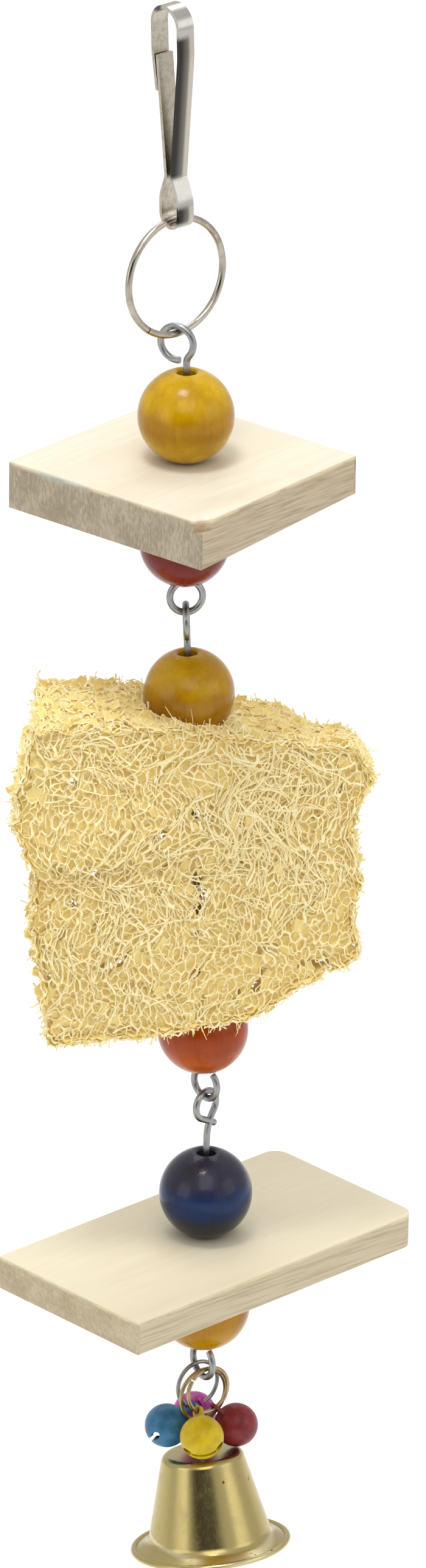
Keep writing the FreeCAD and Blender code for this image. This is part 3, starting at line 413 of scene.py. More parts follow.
def spun_brass():
    """Satin brass: brushed down its slope, a faint ring low on it and a few dark specks."""
    finish = Finish("satin brass", metallic=1.0)
    tree = finish.tree
    own, along = own_axes(finish, 0, 0, BELL_AXIS)
    out = finish.use(metal_group, {
        "Vector": own, "Metal": (0.48, 0.385, 0.15, 1), "Tarnish": (0.38, 0.30, 0.13, 1),
        "Amount": 0.3, "Gloss": 0.22, "Scratch": 0.05})
    brushed = noise(tree, stretched(tree, own, (1500, 1500, 50)), 1.0, 3, 0.6)
    colour = blend_colours(tree, ramp(tree, brushed, 0.35, 0.7, 0.0, 0.3), out["Color"],
                           (0.42, 0.34, 0.18, 1))
    ring = work_out(tree, "MULTIPLY", between(tree, along["Z"], *BELL_RING_HEIGHT, 0.0003), 0.35)
    colour = blend_colours(tree, ring, colour, (1.0, 0.92, 0.66, 1))
    specks = ramp(tree, noise(tree, stretched(tree, own, (520, 520, 260)), 1.0, 2, 0.5), 0.72, 0.78)
    colour = blend_colours(tree, specks, colour, (0.10, 0.07, 0.03, 1))
    return finish.join(colour, out["Roughness"])


dress("spring_clip", strip_plate())
dress("hanging_ring", plated_wire)
for wire in ("upper_eye_wire", "middle_eye_wire", "lower_eye_wire", "bell_hanger", "clapper",
             "back_jingle_ring", "yellow_pellet", "red_pellet", "blue_pellet", "magenta_pellet"):
    dress(wire, dull_wire)
dress("front_jingle_ring", bronze_wire)
dress("bell_ring", bronze_wire)
dress("bell_shell", spun_brass())

# %% [markdown]
# ## Painted jingle bells
# Small steel balls, dipped in thin bright paint that lies a little unevenly.

# %% Paint
def paint(name, light, deep):
    """Satin paint, in two shades of one colour."""
    finish = Finish(name, roughness=0.42, coat_weight=0.22, coat_roughness=0.22,
                    specular_ior_level=0.2)
    out = finish.use(dye_group, {"Vector": finish.place, "Light": (*light, 1), "Deep": (*deep, 1),
                                 "Scale": 300, "Speckle": 0.25})
    return finish.join(out["Color"], None, out["Height"], 0.02 * MM)


# Each bell's lighter and deeper shade.
PAINTS = {
    "yellow": ((0.69, 0.50, 0.004), (0.52, 0.36, 0.002)),
    "red": ((0.29, 0.03, 0.038), (0.16, 0.014, 0.02)),
    "blue": ((0.05, 0.21, 0.38), (0.025, 0.12, 0.24)),
    "magenta": ((0.62, 0.08, 0.45), (0.40, 0.03, 0.28)),
}
for colour, (light, deep) in PAINTS.items():
    dress(colour + "_jingle_bell", paint(colour + " paint", light, deep))

# %% [markdown]
# ## Dyed beads
# Turned wooden beads soaked in dye and lacquered. The colour lies in soft bands that are partly the dye
# and partly painted: the darker middle bands are a painted dark reflection, and the orange bead's
# darker top is painted shade. The dye is deeper in the grain, and the lacquer over the grain breaks up
# the highlight.

# %% Beads
# The heights of the two band edges, as shares of the bead's height from its foot, and how far they
# wander, in metres.
LOW_EDGE, TOP_EDGE = (0.22, 0.42), (0.55, 0.78)
BAND_WANDER = 0.004


def banded_bead(node, top, middle, low):
    """Dyed wood whose colour changes in bands from the foot of a bead to its top; the bands are partly
    dye and partly painted reflection and shade.
    """
    points = np.empty(len(nodes[node].data.vertices) * 3)
    nodes[node].data.vertices.foreach_get("co", points)
    bottom, crown = points[2::3].min(), points[2::3].max()
    finish = Finish(node.replace("_", " ") + " dye", roughness=0.17, specular_ior_level=0.2,
                    coat_weight=0.12, coat_roughness=0.1)
    tree = finish.tree
    height = add_node(tree, "SeparateXYZ", {"Vector": finish.place}).outputs["Z"]
    wander = work_out(tree, "SUBTRACT", noise(tree, finish.place, 160, 3), 0.5)
    height = work_out(tree, "ADD", height, work_out(tree, "MULTIPLY", wander, BAND_WANDER))
    colour = (*low, 1)
    # The bands hold painted reflection and shade as well as the dye.
    for edge, band in ((LOW_EDGE, middle), (TOP_EDGE, top)):
        share = ramp(tree, height, *(bottom + (crown - bottom) * part for part in edge))
        colour = blend_colours(tree, share, colour, (*band, 1))
    deep = blend_colours(tree, 1.0, colour, (0.76, 0.68, 0.6, 1), "MULTIPLY")
    out = finish.use(dye_group, {"Vector": finish.place, "Light": colour, "Deep": deep, "Scale": 140,
                                 "Speckle": 0.4})
    return finish.join(out["Color"], None, out["Height"], 0.1 * MM)


# Each bead's colour at its top, round its middle and low on it: the dye, with the darker middle bands a
# painted dark reflection and the orange bead's darker top painted shade.
BEAD_BANDS = {
    "upper_yellow_bead": ((0.58, 0.35, 0.001), (0.42, 0.21, 0.001), (0.55, 0.33, 0.001)),
    "red_bead": ((0.24, 0.026, 0.016), (0.18, 0.012, 0.008), (0.21, 0.016, 0.010)),
    "middle_yellow_bead": ((0.55, 0.31, 0.005), (0.38, 0.18, 0.003), (0.44, 0.23, 0.004)),
    "orange_bead": ((0.40, 0.075, 0.006), (0.36, 0.055, 0.004), (0.46, 0.085, 0.005)),
    "blue_bead": ((0.028, 0.027, 0.052), (0.008, 0.026, 0.10), (0.022, 0.023, 0.035)),
    "lower_yellow_bead": ((0.56, 0.30, 0.002), (0.46, 0.22, 0.001), (0.49, 0.25, 0.001)),
}
for bead, (top, middle, low) in BEAD_BANDS.items():
    dress(bead, banded_bead(bead, top, middle, low))

# %% [markdown]
# ## Boards
# Both boards are pale softwood. The grain runs along each board's own long side, so the pattern follows
# the board's own axes. The top is planed and nearly white; the long sides are browner and show the
# fibres as streaks; the sawn ends are fuzzy with torn fibres. The sides and ends are darker partly in
# the wood and partly by painted shade.

# %% Boards
# Depths in metres: how far the sawn end's and the top's colours reach round their edges, and how far
# the lighter yellow band along the top edge reaches down.
END_REACH, TOP_REACH, EDGE_YELLOW_REACH = (0.0006, 0.0002), (-0.0005, -0.0001), (-0.0011, -0.0004)
EDGE_YELLOW = (0.80, 0.66, 0.36, 1)


def board(name, tilt, turn, middle, half_length, top, side, end, slant, ring_size, fibre):
    """Softwood in three zones: top, long sides and sawn ends, each in an early and a late tone. The
    tones of the sides and ends are partly painted shade.

    The middle is that of the board's top. The slant is that of the torn fibres on the ends."""
    finish = Finish(name, roughness=0.8)
    tree = finish.tree
    own, along = own_axes(finish, tilt, turn, middle)
    out = finish.use(wood_group, {
        "Vector": own, "Early": (*top[0], 1), "Late": (*top[1], 1), "Ring Size": ring_size,
        "Ring Strength": 0.3, "Fibre": fibre})
    streaks = noise(tree, stretched(tree, own, (2200, 60, 2200), (0.04, 0, 0)), 1.0, 5, 0.65)
    # The long sides and the sawn ends are darker than the top, partly in the wood and partly by painted
    # shade.
    side_colour = blend_colours(tree, ramp(tree, streaks, 0.40, 0.68), (*side[0], 1), (*side[1], 1))
    fuzz = noise(tree, stretched(tree, own, (2200, 2200, 700), (0, slant, 0)), 1.0, 5, 0.7)
    patches = noise(tree, own, 130, 3, 0.6)
    end_colour = blend_colours(tree, ramp(tree, mixture(tree, fuzz, patches, 0.65), 0.36, 0.62),
                               (*end[0], 1), (*end[1], 1))
    on_end = ramp(tree, work_out(tree, "ABSOLUTE", along["Y"]),
                  half_length - END_REACH[0], half_length - END_REACH[1])
    on_top = ramp(tree, along["Z"], *TOP_REACH)
    colour = blend_colours(tree, on_end, side_colour, end_colour)
    # A lighter yellow band along the top of the sides, in patches.
    worn = work_out(tree, "MULTIPLY", ramp(tree, along["Z"], *EDGE_YELLOW_REACH),
                    ramp(tree, patches, 0.4, 0.6, 0.1, 0.75))
    colour = blend_colours(tree, worn, colour, EDGE_YELLOW)
    clouds = noise(tree, stretched(tree, own, (70, 22, 70)), 1.0, 5, 0.6)
    planed = blend_colours(tree, ramp(tree, clouds, 0.5, 0.75, 0.0, 0.35), out["Color"], (*side[0], 1))
    colour = blend_colours(tree, on_top, colour, planed)
    # The relief is deepest on the torn ends and nearly gone on the planed top.
    torn = work_out(tree, "MULTIPLY", fuzz, on_end)
    rough = work_out(tree, "MAXIMUM", torn, work_out(tree, "MULTIPLY", streaks, 0.5))
    bare = work_out(tree, "SUBTRACT", 1.0, work_out(tree, "MULTIPLY", on_top, 0.8))
    return finish, colour, work_out(tree, "MULTIPLY", rough, bare), own, along


finish, colour, height, own, along = board(
    "sawn pine", tilt=1.9, turn=-41, middle=(3.09, 1.43, -91.97), half_length=0.0249,
    top=((0.73, 0.67, 0.54), (0.60, 0.50, 0.35)), side=((0.54, 0.45, 0.31), (0.38, 0.29, 0.18)),
    end=((0.49, 0.42, 0.30), (0.31, 0.25, 0.17)), slant=0.12, ring_size=0.0045, fibre=0.35)
tree = finish.tree
# A brown chip at the near corner, and a blue-green stain on the near left edge.
CHIP = (0.0250, -0.0238, -0.0012)
chip = add_node(tree, "VectorMath", {0: own, 1: CHIP}, operation="DISTANCE").outputs["Value"]
ragged_chip = work_out(tree, "ADD", chip, work_out(tree, "MULTIPLY", noise(tree, own, 900, 3), 0.002))
colour = blend_colours(tree, ramp(tree, ragged_chip, 0.0014, 0.0032, 0.6, 0.0), colour,
                       (0.40, 0.25, 0.13, 1))
stain = work_out(tree, "MULTIPLY", between(tree, along["X"], -0.018, -0.006, 0.003),
                 between(tree, along["Z"], -0.0014, 0.0005, 0.0004))
stain = work_out(tree, "MULTIPLY", stain, ramp(tree, along["Y"], -0.0246, -0.0240, 0.3, 0.0))
colour = blend_colours(tree, stain, colour, (0.36, 0.52, 0.52, 1))
dress("square_board", finish.join(colour, None, height, 0.22 * MM))

finish, colour, height, *_ = board(
    "planed pine", tilt=2.2, turn=-47, middle=(9.37, 7.63, -265.59), half_length=0.040,
    top=((0.72, 0.65, 0.49), (0.62, 0.53, 0.36)), side=((0.60, 0.52, 0.36), (0.46, 0.37, 0.23)),
    end=((0.60, 0.51, 0.35), (0.42, 0.33, 0.20)), slant=0.7, ring_size=0.006, fibre=0.3)
dress("rectangular_board", finish.join(colour, None, height, 0.18 * MM))

# %% [markdown]
# ## The loofah
# A loofah is the dried skeleton of a gourd: a sponge of stiff fibres that fork and join, with thin
# golden skins left in many of its cells. A bump pattern can't be seen through, so the net is
# modelled. Layers of jittered honeycomb follow the slab from its front to its back, and more are
# wrapped round its edge. In a honeycomb each corner joins three fibres, which is just how the real
# fibres fork. Skins close part of the cells, so that light and sight pass only where no layer has
# one. Long strands lie over it all. Everything is worked out as whole arrays, in the slab's own
# millimetres.

# %% Where the slab is, and its form
LOOFAH_PLACE = np.array((0.445, -0.921, -152.317)) * MM
LOOFAH_STANCE = np.array(Matrix.Rotation(math.radians(-0.9), 3, "Y")
                         @ Matrix.Rotation(math.radians(12), 3, "Z"))
HALF_WIDTH = 37.0
HEIGHT = 57.4
# The wire's channel, and the height of each bead that touches the slab with the radius to keep clear.
CHANNEL_RADIUS = 1.5
BEAD_SEATS = ((9.0, 9.7), (-66.55, 9.85))
# Outline points as shares of the half width and of the height, from the top left, clockwise.
OUTLINE = np.array([
    (-0.96, 0.16), (-0.62, 0.15), (-0.28, 0.13), (0.05, 0.08), (0.40, 0.03), (0.66, -0.02),
    (0.86, -0.04), (0.94, -0.10), (0.96, -0.18), (0.88, -0.28), (0.84, -0.36), (0.86, -0.55),
    (0.82, -0.74), (0.86, -0.85), (0.78, -0.89), (0.66, -0.91), (0.42, -0.97), (0.19, -1.05),
    (-0.10, -1.06), (-0.39, -1.07), (-0.70, -1.06), (-0.94, -1.05), (-0.96, -0.92), (-0.98, -0.76),
    (-1.03, -0.56), (-1.00, -0.37), (-1.04, -0.26), (-1.10, -0.18), (-1.08, -0.13), (-1.04, -0.01),
    (-0.97, 0.12)])
draw = np.random.default_rng(7)


def slab_front(x, z):
    """Depth of the front face: of a plane that tapers to the right and a creased one, the deeper."""
    tapering = -np.interp(x, (-44.4, 44.4), (14.75, 10.75))
    creased = np.interp(z, (-68.9, -21.8, 11.5), (-11.75, -14.75, -10.55))
    return np.maximum(tapering, creased)


def slab_back(x, z):
    """Depth of the back face, made the same way."""
    tapering = np.interp(x, (-44.4, 44.4), (11.75, 7.75))
    creased = np.interp(z, (-68.9, -21.8, 11.5), (11.15, 11.75, 9.35))
    return np.minimum(tapering, creased)


def ragged(points, step, wander):
    """A closed outline resampled at even steps, each point moved at random, most on the left."""
    closed = np.vstack([points, points[:1]])
    marks = np.concatenate([[0], np.cumsum(np.linalg.norm(np.diff(closed, axis=0), axis=1))])
    places = np.arange(0, marks[-1], step)
    even = np.column_stack([np.interp(places, marks, closed[:, axis]) for axis in (0, 1)])
    reach = wander * np.interp(even[:, :1], (-34, -26), (1.8, 1.0))
    return even + draw.uniform(-1, 1, even.shape) * reach


def inside(points, outline):
    """Whether points lie in a closed outline, by how often a ray to the right crosses it."""
    x, z = points[..., 0], points[..., 1]
    crossings = np.zeros(x.shape, int)
    for (x0, z0), (x1, z1) in zip(outline, np.roll(outline, -1, axis=0)):
        spans = (z0 > z) != (z1 > z)
        if z0 != z1:
            crossings += spans & (x < x0 + (z - z0) / (z1 - z0) * (x1 - x0))
    return crossings % 2 == 1


edge_line = ragged(OUTLINE * (HALF_WIDTH, HEIGHT), 1.5, 0.5)
print("loofah outline points", len(edge_line))


# %% Laying nets on the slab
def waves(points, size, reach, phase=0.0):
    """A smooth wandering of points: sine waves along each axis, at angles to each other."""
    wave = 2 * math.pi / size
    x, z = points[..., 0] * wave + phase, points[..., 1] * wave - phase
    sideways = np.sin(1.1 * z + 0.6 * x + 0.7) + 0.6 * np.sin(2.3 * z - 1.1 * x)
    upward = np.sin(1.3 * x - 0.4 * z + 2.1) + 0.6 * np.sin(2.1 * x + 0.9 * z)
    return reach * np.stack([sideways, upward], axis=-1)


HEXAGON_ROW = 0.866


def cells(width, height, pitch, stretch, jitter=0.46, middle=-HEIGHT / 2):
    """The six corners round each cell of a jittered honeycomb.

    A corner is the mean of the three cell centres it lies between, so it moves with them."""
    step = pitch * HEXAGON_ROW * stretch
    row, column = np.mgrid[0:int(height / step) + 4, 0:int(width / pitch) + 4]
    centres = np.stack([(column + 0.5 * (row % 2)) * pitch, row * step], axis=-1)
    centres += np.array((0, middle)) - centres.reshape(-1, 2).mean(0)
    centres += draw.uniform(-jitter, jitter, centres.shape) * pitch
    r, c = row[1:-1, 1:-1], column[1:-1, 1:-1]
    odd = r % 2
    ring = ((r, c + 1), (r + 1, c + odd), (r + 1, c + odd - 1),
            (r, c - 1), (r - 1, c + odd - 1), (r - 1, c + odd))
    around = np.stack([centres[place] for place in ring], axis=-2)
    corners = (centres[r, c][..., None, :] + around + np.roll(around, -1, axis=-2)) / 3
    return corners.reshape(-1, 6, 2)


def keep_clear(points):
    """Push points off the wire's channel and out of the two beads that touch the slab."""
    radial = np.hypot(points[..., 0], points[..., 1])
    push = np.maximum(CHANNEL_RADIUS / np.maximum(radial, 1e-3), 1.0)
    points = points * np.stack([push, push, np.ones_like(push)], axis=-1)
    for height, radius in BEAD_SEATS:
        offset = points - (0, 0, height)
        distance = np.linalg.norm(offset, axis=-1, keepdims=True)
        points = (0, 0, height) + offset * np.maximum(radius / np.maximum(distance, 1e-3), 1.0)
    return points


# From left to right, how far the slab's back stands over to the right, and how far its top rises or
# falls off. The fall grows from this far below the top.
LEAN = ((-38, -10, 10, 36), (6.5, 1.5, 0.0, 2.5))
FALL = ((-30, 0, 17, 28, 35), (2.0, 1.0, 0.3, -4.0, -4.5))
FALL_BEGINS = 22


def settled(x, y, z, share):
    """Points in place: leaned and fallen by the share of the way to the slab's back."""
    top = np.clip((z + FALL_BEGINS) / FALL_BEGINS, 0, 1)
    lean = np.interp(x, *LEAN)
    fall = np.interp(x, *FALL)
    return keep_clear(np.stack([x + share * lean, y, z + share * fall * top], axis=-1))


def lay(flat, share, below=0.0, rough=0.35):
    """Flat points on one layer: a share of the way from front to back, and so far below the faces."""
    flat = flat + waves(flat + 31 * share, 26, 0.8)
    x, z = flat[..., 0], flat[..., 1]
    front, back = slab_front(x, z), slab_back(x, z)
    y = front + below + (back - front - 2 * below) * share + waves(flat, 4.3, rough, 40 * share)[..., 0]
    return settled(x, y, z, share), inside(flat, edge_line)


closed_line = np.vstack([edge_line, edge_line[:1]])
way_round = np.concatenate([[0], np.cumsum(np.linalg.norm(np.diff(closed_line, axis=0), axis=1))])
RIM_WIDTH = 21.0
RIM_ROUGHNESS = 0.3


def wrap(flat, out=0.0):
    """Flat points wrapped round the slab's edge: x is the way round it, z the way through it."""
    place = (flat[..., 0] + way_round[-1] / 2) % way_round[-1]
    x, z = (np.interp(place, way_round, closed_line[:, axis]) for axis in (0, 1))
    share = flat[..., 1] / RIM_WIDTH + 0.5
    front, back = slab_front(x, z), slab_back(x, z)
    swell = out + waves(flat, 5.1, RIM_ROUGHNESS)[..., 0]
    middle = np.array((0.0, -HEIGHT / 2))
    away = np.stack([x, z], axis=-1) - middle
    away /= np.linalg.norm(away, axis=-1, keepdims=True)
    x, z = x + away[..., 0] * swell, z + away[..., 1] * swell
    y = front + (back - front) * share
    within = (np.abs(flat[..., 0]) < way_round[-1] / 2) & (share > -0.01) & (share < 1.01)
    return settled(x, y, z, share), within


# %% Fibres and skins
TUBE_SIDES = 3
FIBRE_BOW = 0.09
LONGEST_FIBRE = 6
SKIN_HALF_THICKNESS = 0.05


def tubes(spine, radius):
    """Closed three-sided tubes round spines: arrays of (tube, ring, xyz) and (tube, ring)."""
    count, rings = radius.shape
    heading = spine[:, -1] - spine[:, 0]
    heading /= np.linalg.norm(heading, axis=1, keepdims=True) + 1e-9
    across = np.cross(heading, draw.normal(size=(count, 3)))
    across /= np.linalg.norm(across, axis=1, keepdims=True)
    other = np.cross(heading, across)
    sides = TUBE_SIDES
    angle = (np.arange(sides) * 2 * math.pi / sides)[None, :, None]
    around = across[:, None] * np.cos(angle) + other[:, None] * np.sin(angle)
    points = spine[:, :, None] + around[:, None] * radius[..., None, None]
    ring, side = np.arange(rings - 1)[:, None] * sides, np.arange(sides)[None, :]
    beside = (side + 1) % sides
    walls = np.stack([ring + side, ring + beside, ring + sides + beside, ring + sides + side], -1)
    caps = np.array([np.arange(sides)[::-1], (rings - 1) * sides + np.arange(sides)])
    first = (np.arange(count) * rings * sides)[:, None, None]
    return points.reshape(-1, 3), [(walls.reshape(-1, 4) + first).reshape(-1, 4),
                                   (caps + first).reshape(-1, sides)]


def fibres(start, end, thin, flare):
    """Short fibres from joint to joint: bowed sideways, thin in the middle, thicker at their joints."""
    along = end - start
    length = np.linalg.norm(along, axis=1, keepdims=True) + 1e-9
    side = np.cross(along / length, draw.normal(size=(len(start), 3)))
    middle = (start + end) / 2 + side * length * draw.normal(0, FIBRE_BOW, (len(start), 1))
    spine = np.stack([start, middle, end], axis=1)
    return tubes(spine, np.stack([thin * flare, thin, thin * flare], axis=1))


def net(corners, place, thin, kept, open_to=0.6):
    """The fibres of a honeycomb: each cell gives three of its six sides, so that none comes twice."""
    points, within = place(corners)
    start, end = points[:, :3].reshape(-1, 3), points[:, 1:4].reshape(-1, 3)
    good = (within[:, :3] | within[:, 1:4]).reshape(-1)
    good &= (draw.random(len(good)) < kept) & (np.linalg.norm(end - start, axis=1) < LONGEST_FIBRE)
    good &= ~on_sight_line((start + end) / 2, open_to)
    start, end = start[good], end[good]
    radius = thin * draw.lognormal(0, 0.3, len(start))
    return fibres(start, end, radius, draw.uniform(1.3, 2.0, len(start)))


def skins(corners, place, share, open_to=1.0):
    """Thin closed plates that fill a share of the cells, each on its cell's own six corners."""
    points, within = place(corners)
    filled = (within.sum(axis=1) > 3) & (draw.random(len(points)) < share)
    filled &= ~on_sight_line(points.mean(axis=1), open_to)
    points = points[filled]
    middle = points.mean(axis=1, keepdims=True)
    normal = np.cross(points[:, 2] - points[:, 0], points[:, 4] - points[:, 0])[:, None]
    normal /= np.linalg.norm(normal, axis=-1, keepdims=True) + 1e-9
    points = middle + (points - middle) * 1.02 + normal * draw.normal(0, 0.12, (len(points), 6, 1))
    half = normal * SKIN_HALF_THICKNESS
    both = np.concatenate([points + half, points - half], axis=1)
    sides = [(i, i + 6, (i + 1) % 6 + 6, (i + 1) % 6) for i in range(6)]
    plate = np.array([(0, 1, 2, 3), (0, 3, 4, 5), (9, 8, 7, 6), (11, 10, 9, 6)] + sides)
    faces = plate[None] + (np.arange(len(points)) * 12)[:, None, None]
    return both.reshape(-1, 3), [faces.reshape(-1, 4)]


# The wire can be glimpsed at a few heights, and a few gaps go right through.
view = LOOFAH_STANCE.T @ np.array(ahead)
GLIMPSES = np.array([-12.0, -17.5, -24.0, -31.5, -39.0, -54.0])
GAP_COUNT = 24
gaps = zip(draw.uniform(-34, 33, GAP_COUNT), draw.uniform(-62, -6, GAP_COUNT))
OPENINGS = [(0, z, 0.9) for z in GLIMPSES] + [(x, z, 1.0) for x, z in gaps]


def on_sight_line(points, open_to):
    """Whether points lie close to a line of sight that stays open."""
    clear = np.zeros(len(points), bool)
    for x, z, radius in OPENINGS:
        offset = points - (x, 0, z)
        clear |= np.linalg.norm(np.cross(offset, view), axis=1) < radius * open_to
    return clear


def strands(count, steps, step, heading, spread, region, layer, thin):
    """Long wandering strands in a box of the outline, heading one way within a spread of angles."""
    x0, x1, z0, z1 = region
    flat = np.column_stack([draw.uniform(x0, x1, count), draw.uniform(z0, z1, count)])
    angle = heading + spread * draw.normal(size=count)
    bends = np.cumsum(draw.normal(0, 0.2, (count, steps)), axis=1)
    bends += draw.normal(0, 0.09, (count, 1)) * np.arange(steps)
    way = angle[:, None] + bends
    moves = np.stack([np.cos(way), np.sin(way)], axis=-1) * step * draw.uniform(0.7, 1.4, (count, 1, 1))
    path = flat[:, None] + np.cumsum(moves, axis=1)
    points, within = layer(path)
    good = within.all(axis=1)
    points = points[good]
    rise = np.cumsum(draw.normal(0, 0.12, points.shape[:2]), axis=1)
    points[..., 1] += rise - rise.mean(axis=1, keepdims=True)
    flare = 1 + 0.6 * np.abs(np.linspace(-1, 1, steps))
    radius = thin * draw.lognormal(0, 0.3, (len(points), 1)) * flare
    return tubes(keep_clear(points), radius)


def wisps(count, reach, thin):
    """Free curling ends that stand off the slab's edge."""
    flat = np.column_stack([draw.uniform(-0.5, 0.5, count) * way_round[-1],
                            draw.uniform(-0.5, 0.5, count) * RIM_WIDTH])
    root, _ = wrap(flat)
    out = root - (0, 0, -HEIGHT / 2)
    out[:, 1] *= 0.2
    out /= np.linalg.norm(out, axis=1, keepdims=True)
    aim = out * 0.55 + draw.normal(0, 0.6, out.shape)
    curl = draw.normal(0, 0.35, out.shape)
    t = np.linspace(0, 1, 5)[None, :, None]
    length = reach * draw.uniform(0.4, 1.0, (count, 1, 1))
    spine = root[:, None] + length * (aim[:, None] * t + curl[:, None] * t * t)
    radius = thin * draw.lognormal(0, 0.25, (count, 1)) * np.linspace(1.2, 0.35, 5)
    return tubes(keep_clear(spine), radius)


def tufts(count, span, height, aim, reach, thin):
    """Curling ends that stand up or hang down in front of a bead, rooted near an edge of the front."""
    x = draw.uniform(*span, count)
    z = height - aim * draw.uniform(-0.3, 2.0, count)
    root = settled(x, slab_front(x, z) + draw.uniform(0.0, 3.0, count), z, 0.0)
    way = (0, 0, aim) + draw.normal(0, 0.45, (count, 3))
    curl = draw.normal(0, 0.4, (count, 3))
    t = np.linspace(0, 1, 6)[None, :, None]
    length = reach * draw.uniform(0.4, 1.0, (count, 1, 1))
    spine = root[:, None] + length * (way[:, None] * t + curl[:, None] * t * t)
    radius = thin * draw.lognormal(0, 0.25, (count, 1)) * np.linspace(1.3, 0.5, 6)
    return tubes(keep_clear(spine), radius)


def to_world(points_mm):
    """From the slab's own millimetres to the frame."""
    return points_mm @ LOOFAH_STANCE.T * MM + LOOFAH_PLACE


# How deep below the slab's faces the fibres are fully golden by painted shade, and how far from its
# middle the gold ends.
GOLDEN_DEPTH = 4
GOLDEN_REACH = 36


def loofah_piece(name, parts, material):
    """One mesh of many fibres or skins; its point attributes say how deep it lies, and its own tone."""
    starts = np.cumsum([0] + [len(points) for points, _ in parts])
    points = np.concatenate([points for points, _ in parts])
    faces = [face + first for (_, groups), first in zip(parts, starts) for face in groups]
    piece = mesh_piece(name, to_world(points), faces, material, smooth=False)
    x, y, z = points.T
    deep = np.minimum(y - slab_front(x, z), slab_back(x, z) - y)
    deep = np.minimum(deep, (GOLDEN_REACH - np.hypot(x, z + HEIGHT / 2)) / 2)
    tone = waves(points[:, [0, 2]] + points[:, 1:2], 7.7, 0.3)[:, 0] + 0.5
    for word, values in (("depth", deep / GOLDEN_DEPTH), ("tone", tone)):
        attribute = piece.data.attributes.new(word, "FLOAT", "POINT")
        attribute.data.foreach_set("value", np.clip(values, 0, 1).astype(np.float32))
    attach(piece, "loofah")
    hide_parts("loofah_slab")
    triangles = sum(len(face) * (face.shape[1] - 2) for face in faces)
    print(name, "points", len(points), "triangles", triangles)


# %% [markdown]
# The finish of the fibres: cream at the slab's faces and edges and a darker gold deeper inside, which
# is painted shade tinted gold as light through real fibres would be. The skins are a deeper gold. A
# brown line along the crease on the left is painted shade.

# %% Loofah finishes
GLOW, GLOW_STRENGTH = (1.0, 0.79, 0.38, 1), 0.075
CREASE_HEIGHT = -0.176


def dry_fibre(name, outer, inner, dark, strength):
    """Dry fibre. The real one lets some light through, and a faint glow of its own stands for that."""
    finish = Finish(name, roughness=0.75, specular_ior_level=0.2, emission_color=GLOW,
                    emission_strength=GLOW_STRENGTH)
    tree = finish.tree
    depth = add_node(tree, "Attribute", attribute_name="depth").outputs["Fac"]
    tone = add_node(tree, "Attribute", attribute_name="tone").outputs["Fac"]
    region = noise(tree, finish.place, 55, 3, 0.6)
    # Deeper fibres are a darker gold: painted shade, tinted as the light that passes through real
    # fibres.
    golden = work_out(tree, "ADD", work_out(tree, "MULTIPLY", depth, 0.7),
                      work_out(tree, "MULTIPLY", tone, 0.35))
    golden = work_out(tree, "MULTIPLY", golden, ramp(tree, region, 0.35, 0.65, 0.6, 1.1))
    colour = blend_colours(tree, golden, (*outer, 1), (*inner, 1))
    spot = add_node(tree, "SeparateXYZ", {"Vector": finish.place}).outputs
    # The brown line along the crease is painted shade.
    crease = work_out(tree, "ABSOLUTE", work_out(tree, "ADD", spot["Z"], -CREASE_HEIGHT))
    line = work_out(tree, "MULTIPLY", ramp(tree, crease, 0.0005, 0.003, 1.0, 0.0),
                    ramp(tree, spot["X"], -0.004, 0.006, 1.0, 0.0))
    spots = ramp(tree, noise(tree, finish.place, 200, 4), 0.4, 0.65)
    stain = work_out(tree, "ADD", work_out(tree, "MULTIPLY", spots, strength),
                     work_out(tree, "MULTIPLY", line, 0.3))
    return finish.join(blend_colours(tree, stain, colour, (*dark, 1)))


fibre_finish = dry_fibre("loofah fibre", (0.86, 0.77, 0.475), (0.81, 0.665, 0.29),
                         (0.62, 0.44, 0.17), 0.08)
skin_finish = dry_fibre("loofah skin", (0.80, 0.645, 0.245), (0.765, 0.575, 0.16),
                        (0.60, 0.42, 0.13), 0.12)

# %% Loofah net
WIDE, TALL = 84, 78
# Each face has three layers: cell width, stretch, depth, fibre radius and share of fibres kept.
FACE_LAYERS = ((1.9, 1.6, 0.0, 0.13, 0.88), (1.9, 1.3, 0.5, 0.13, 0.9), (2.4, 1.1, 1.1, 0.15, 0.85))
SEALING_DEPTH = 1.8
INNER_SHARES = (0.18, 0.38, 0.62, 0.82)
# Beds of strands: how many, joints, step, heading, spread of headings, region from left to right and
# from bottom to top, share of the way to the back, and radius.
STRAND_BEDS = (
    (190, 12, 1.3, math.pi / 2, 0.25, (2, 35, -44, -4), 0.0, 0.13),
    (130, 10, 1.0, 0.0, 1.7, (-36, 36, -66, 4), 0.0, 0.12),
    (60, 12, 1.3, math.pi / 2, 0.3, (-36, -4, -62, -24), 0.0, 0.12),
    (30, 12, 1.4, 0.0, 0.2, (-36, 2, -25, -20), 0.0, 0.13),
    (90, 9, 1.3, -0.08, 0.15, (-37, 28, -4, 8), 0.0, 0.13),
    (200, 10, 1.1, 0.0, 1.3, (-36, 36, -66, 4), 1.0, 0.12))

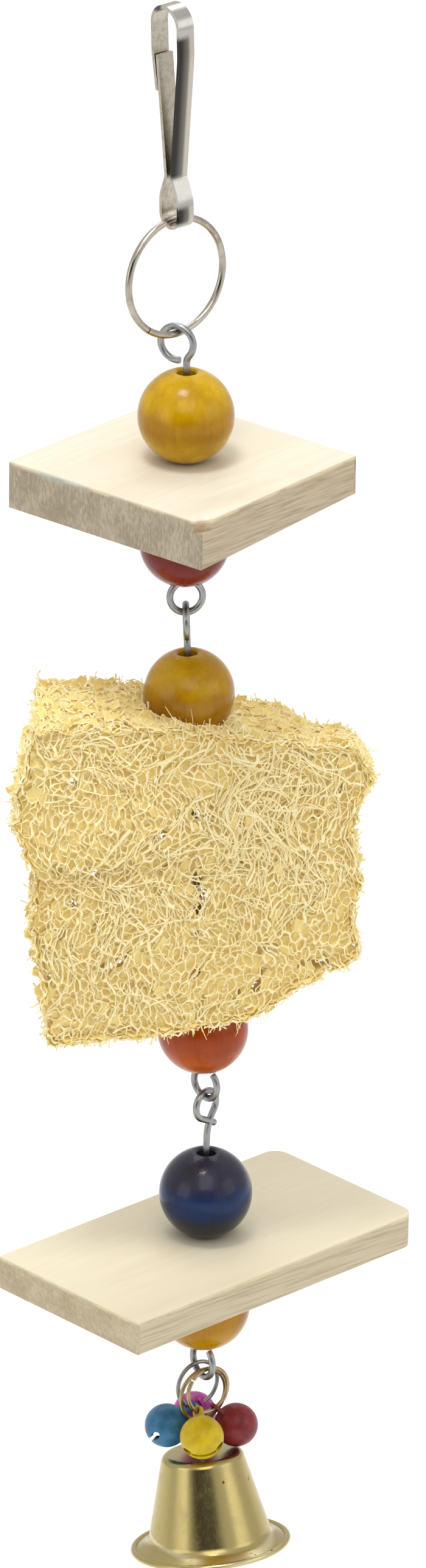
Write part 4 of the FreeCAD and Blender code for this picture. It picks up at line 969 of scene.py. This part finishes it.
rim_width, rim_height = way_round[-1] + 8, RIM_WIDTH + 6
rim_cells = cells(rim_width, rim_height, 2.1, 1.0, 0.36, 0.0)
deep_rim = cells(rim_width, rim_height, 2.8, 1.0, 0.3, 0.0)
inner = [(cells(WIDE, TALL, 2.8, 1.15), share) for share in INNER_SHARES]


def at(share, below=0.0, rough=0.35):
    """A layer a share of the way from front to back, and so far below the nearer face."""
    return lambda flat: lay(flat, share, below, rough)


def rim(out):
    """A layer round the slab's edge, so far out from it."""
    return lambda flat: wrap(flat, out)


plates = []
for name, share in (("loofah_front_net", 0.0), ("loofah_back_net", 1.0)):
    layers = [cells(WIDE, TALL, pitch, stretch) for pitch, stretch, *_ in FACE_LAYERS]
    loofah_piece(name, [net(layer, at(share, below), thin, kept)
                        for layer, (_, _, below, thin, kept) in zip(layers, FACE_LAYERS)], fibre_finish)
    # The gaps are cut wider in the deeper skins and in those at the back, so that light gets in.
    plates += [skins(layers[1], at(share, FACE_LAYERS[1][2]), 0.1),
               skins(layers[2], at(share, FACE_LAYERS[2][2]), 0.95, 1.0 + 1.3 * share),
               skins(cells(WIDE, TALL, 2.6, 1.1), at(share, SEALING_DEPTH), 0.95, 2.4)]
beds = [strands(*numbers, at(share), thin) for *numbers, share, thin in STRAND_BEDS]
loofah_piece("loofah_strands", beds + [
    tufts(70, (-11, 9), 3.6, 1.0, 3.2, 0.1), tufts(60, (-9, 11), -60.0, -1.0, 2.6, 0.1),
    wisps(420, 1.7, 0.11)], fibre_finish)
loofah_piece("loofah_rim_net", [
    net(rim_cells, rim(0.0), 0.15, 0.94), net(deep_rim, rim(-0.5), 0.13, 0.9)], fibre_finish)
loofah_piece("loofah_core_net", [
    net(layer, at(share, 1.0, 0.8), 0.16, 0.85, 1.0) for layer, share in inner], fibre_finish)
plates += [skins(rim_cells, rim(0.0), 0.3), skins(rim_cells, rim(-0.6), 0.95),
           skins(deep_rim, rim(-1.3), 0.95)]
plates += [skins(layer, at(share, 1.0, 0.8), 0.65, 2.8) for layer, share in inner]
loofah_piece("loofah_skins", plates, skin_finish)
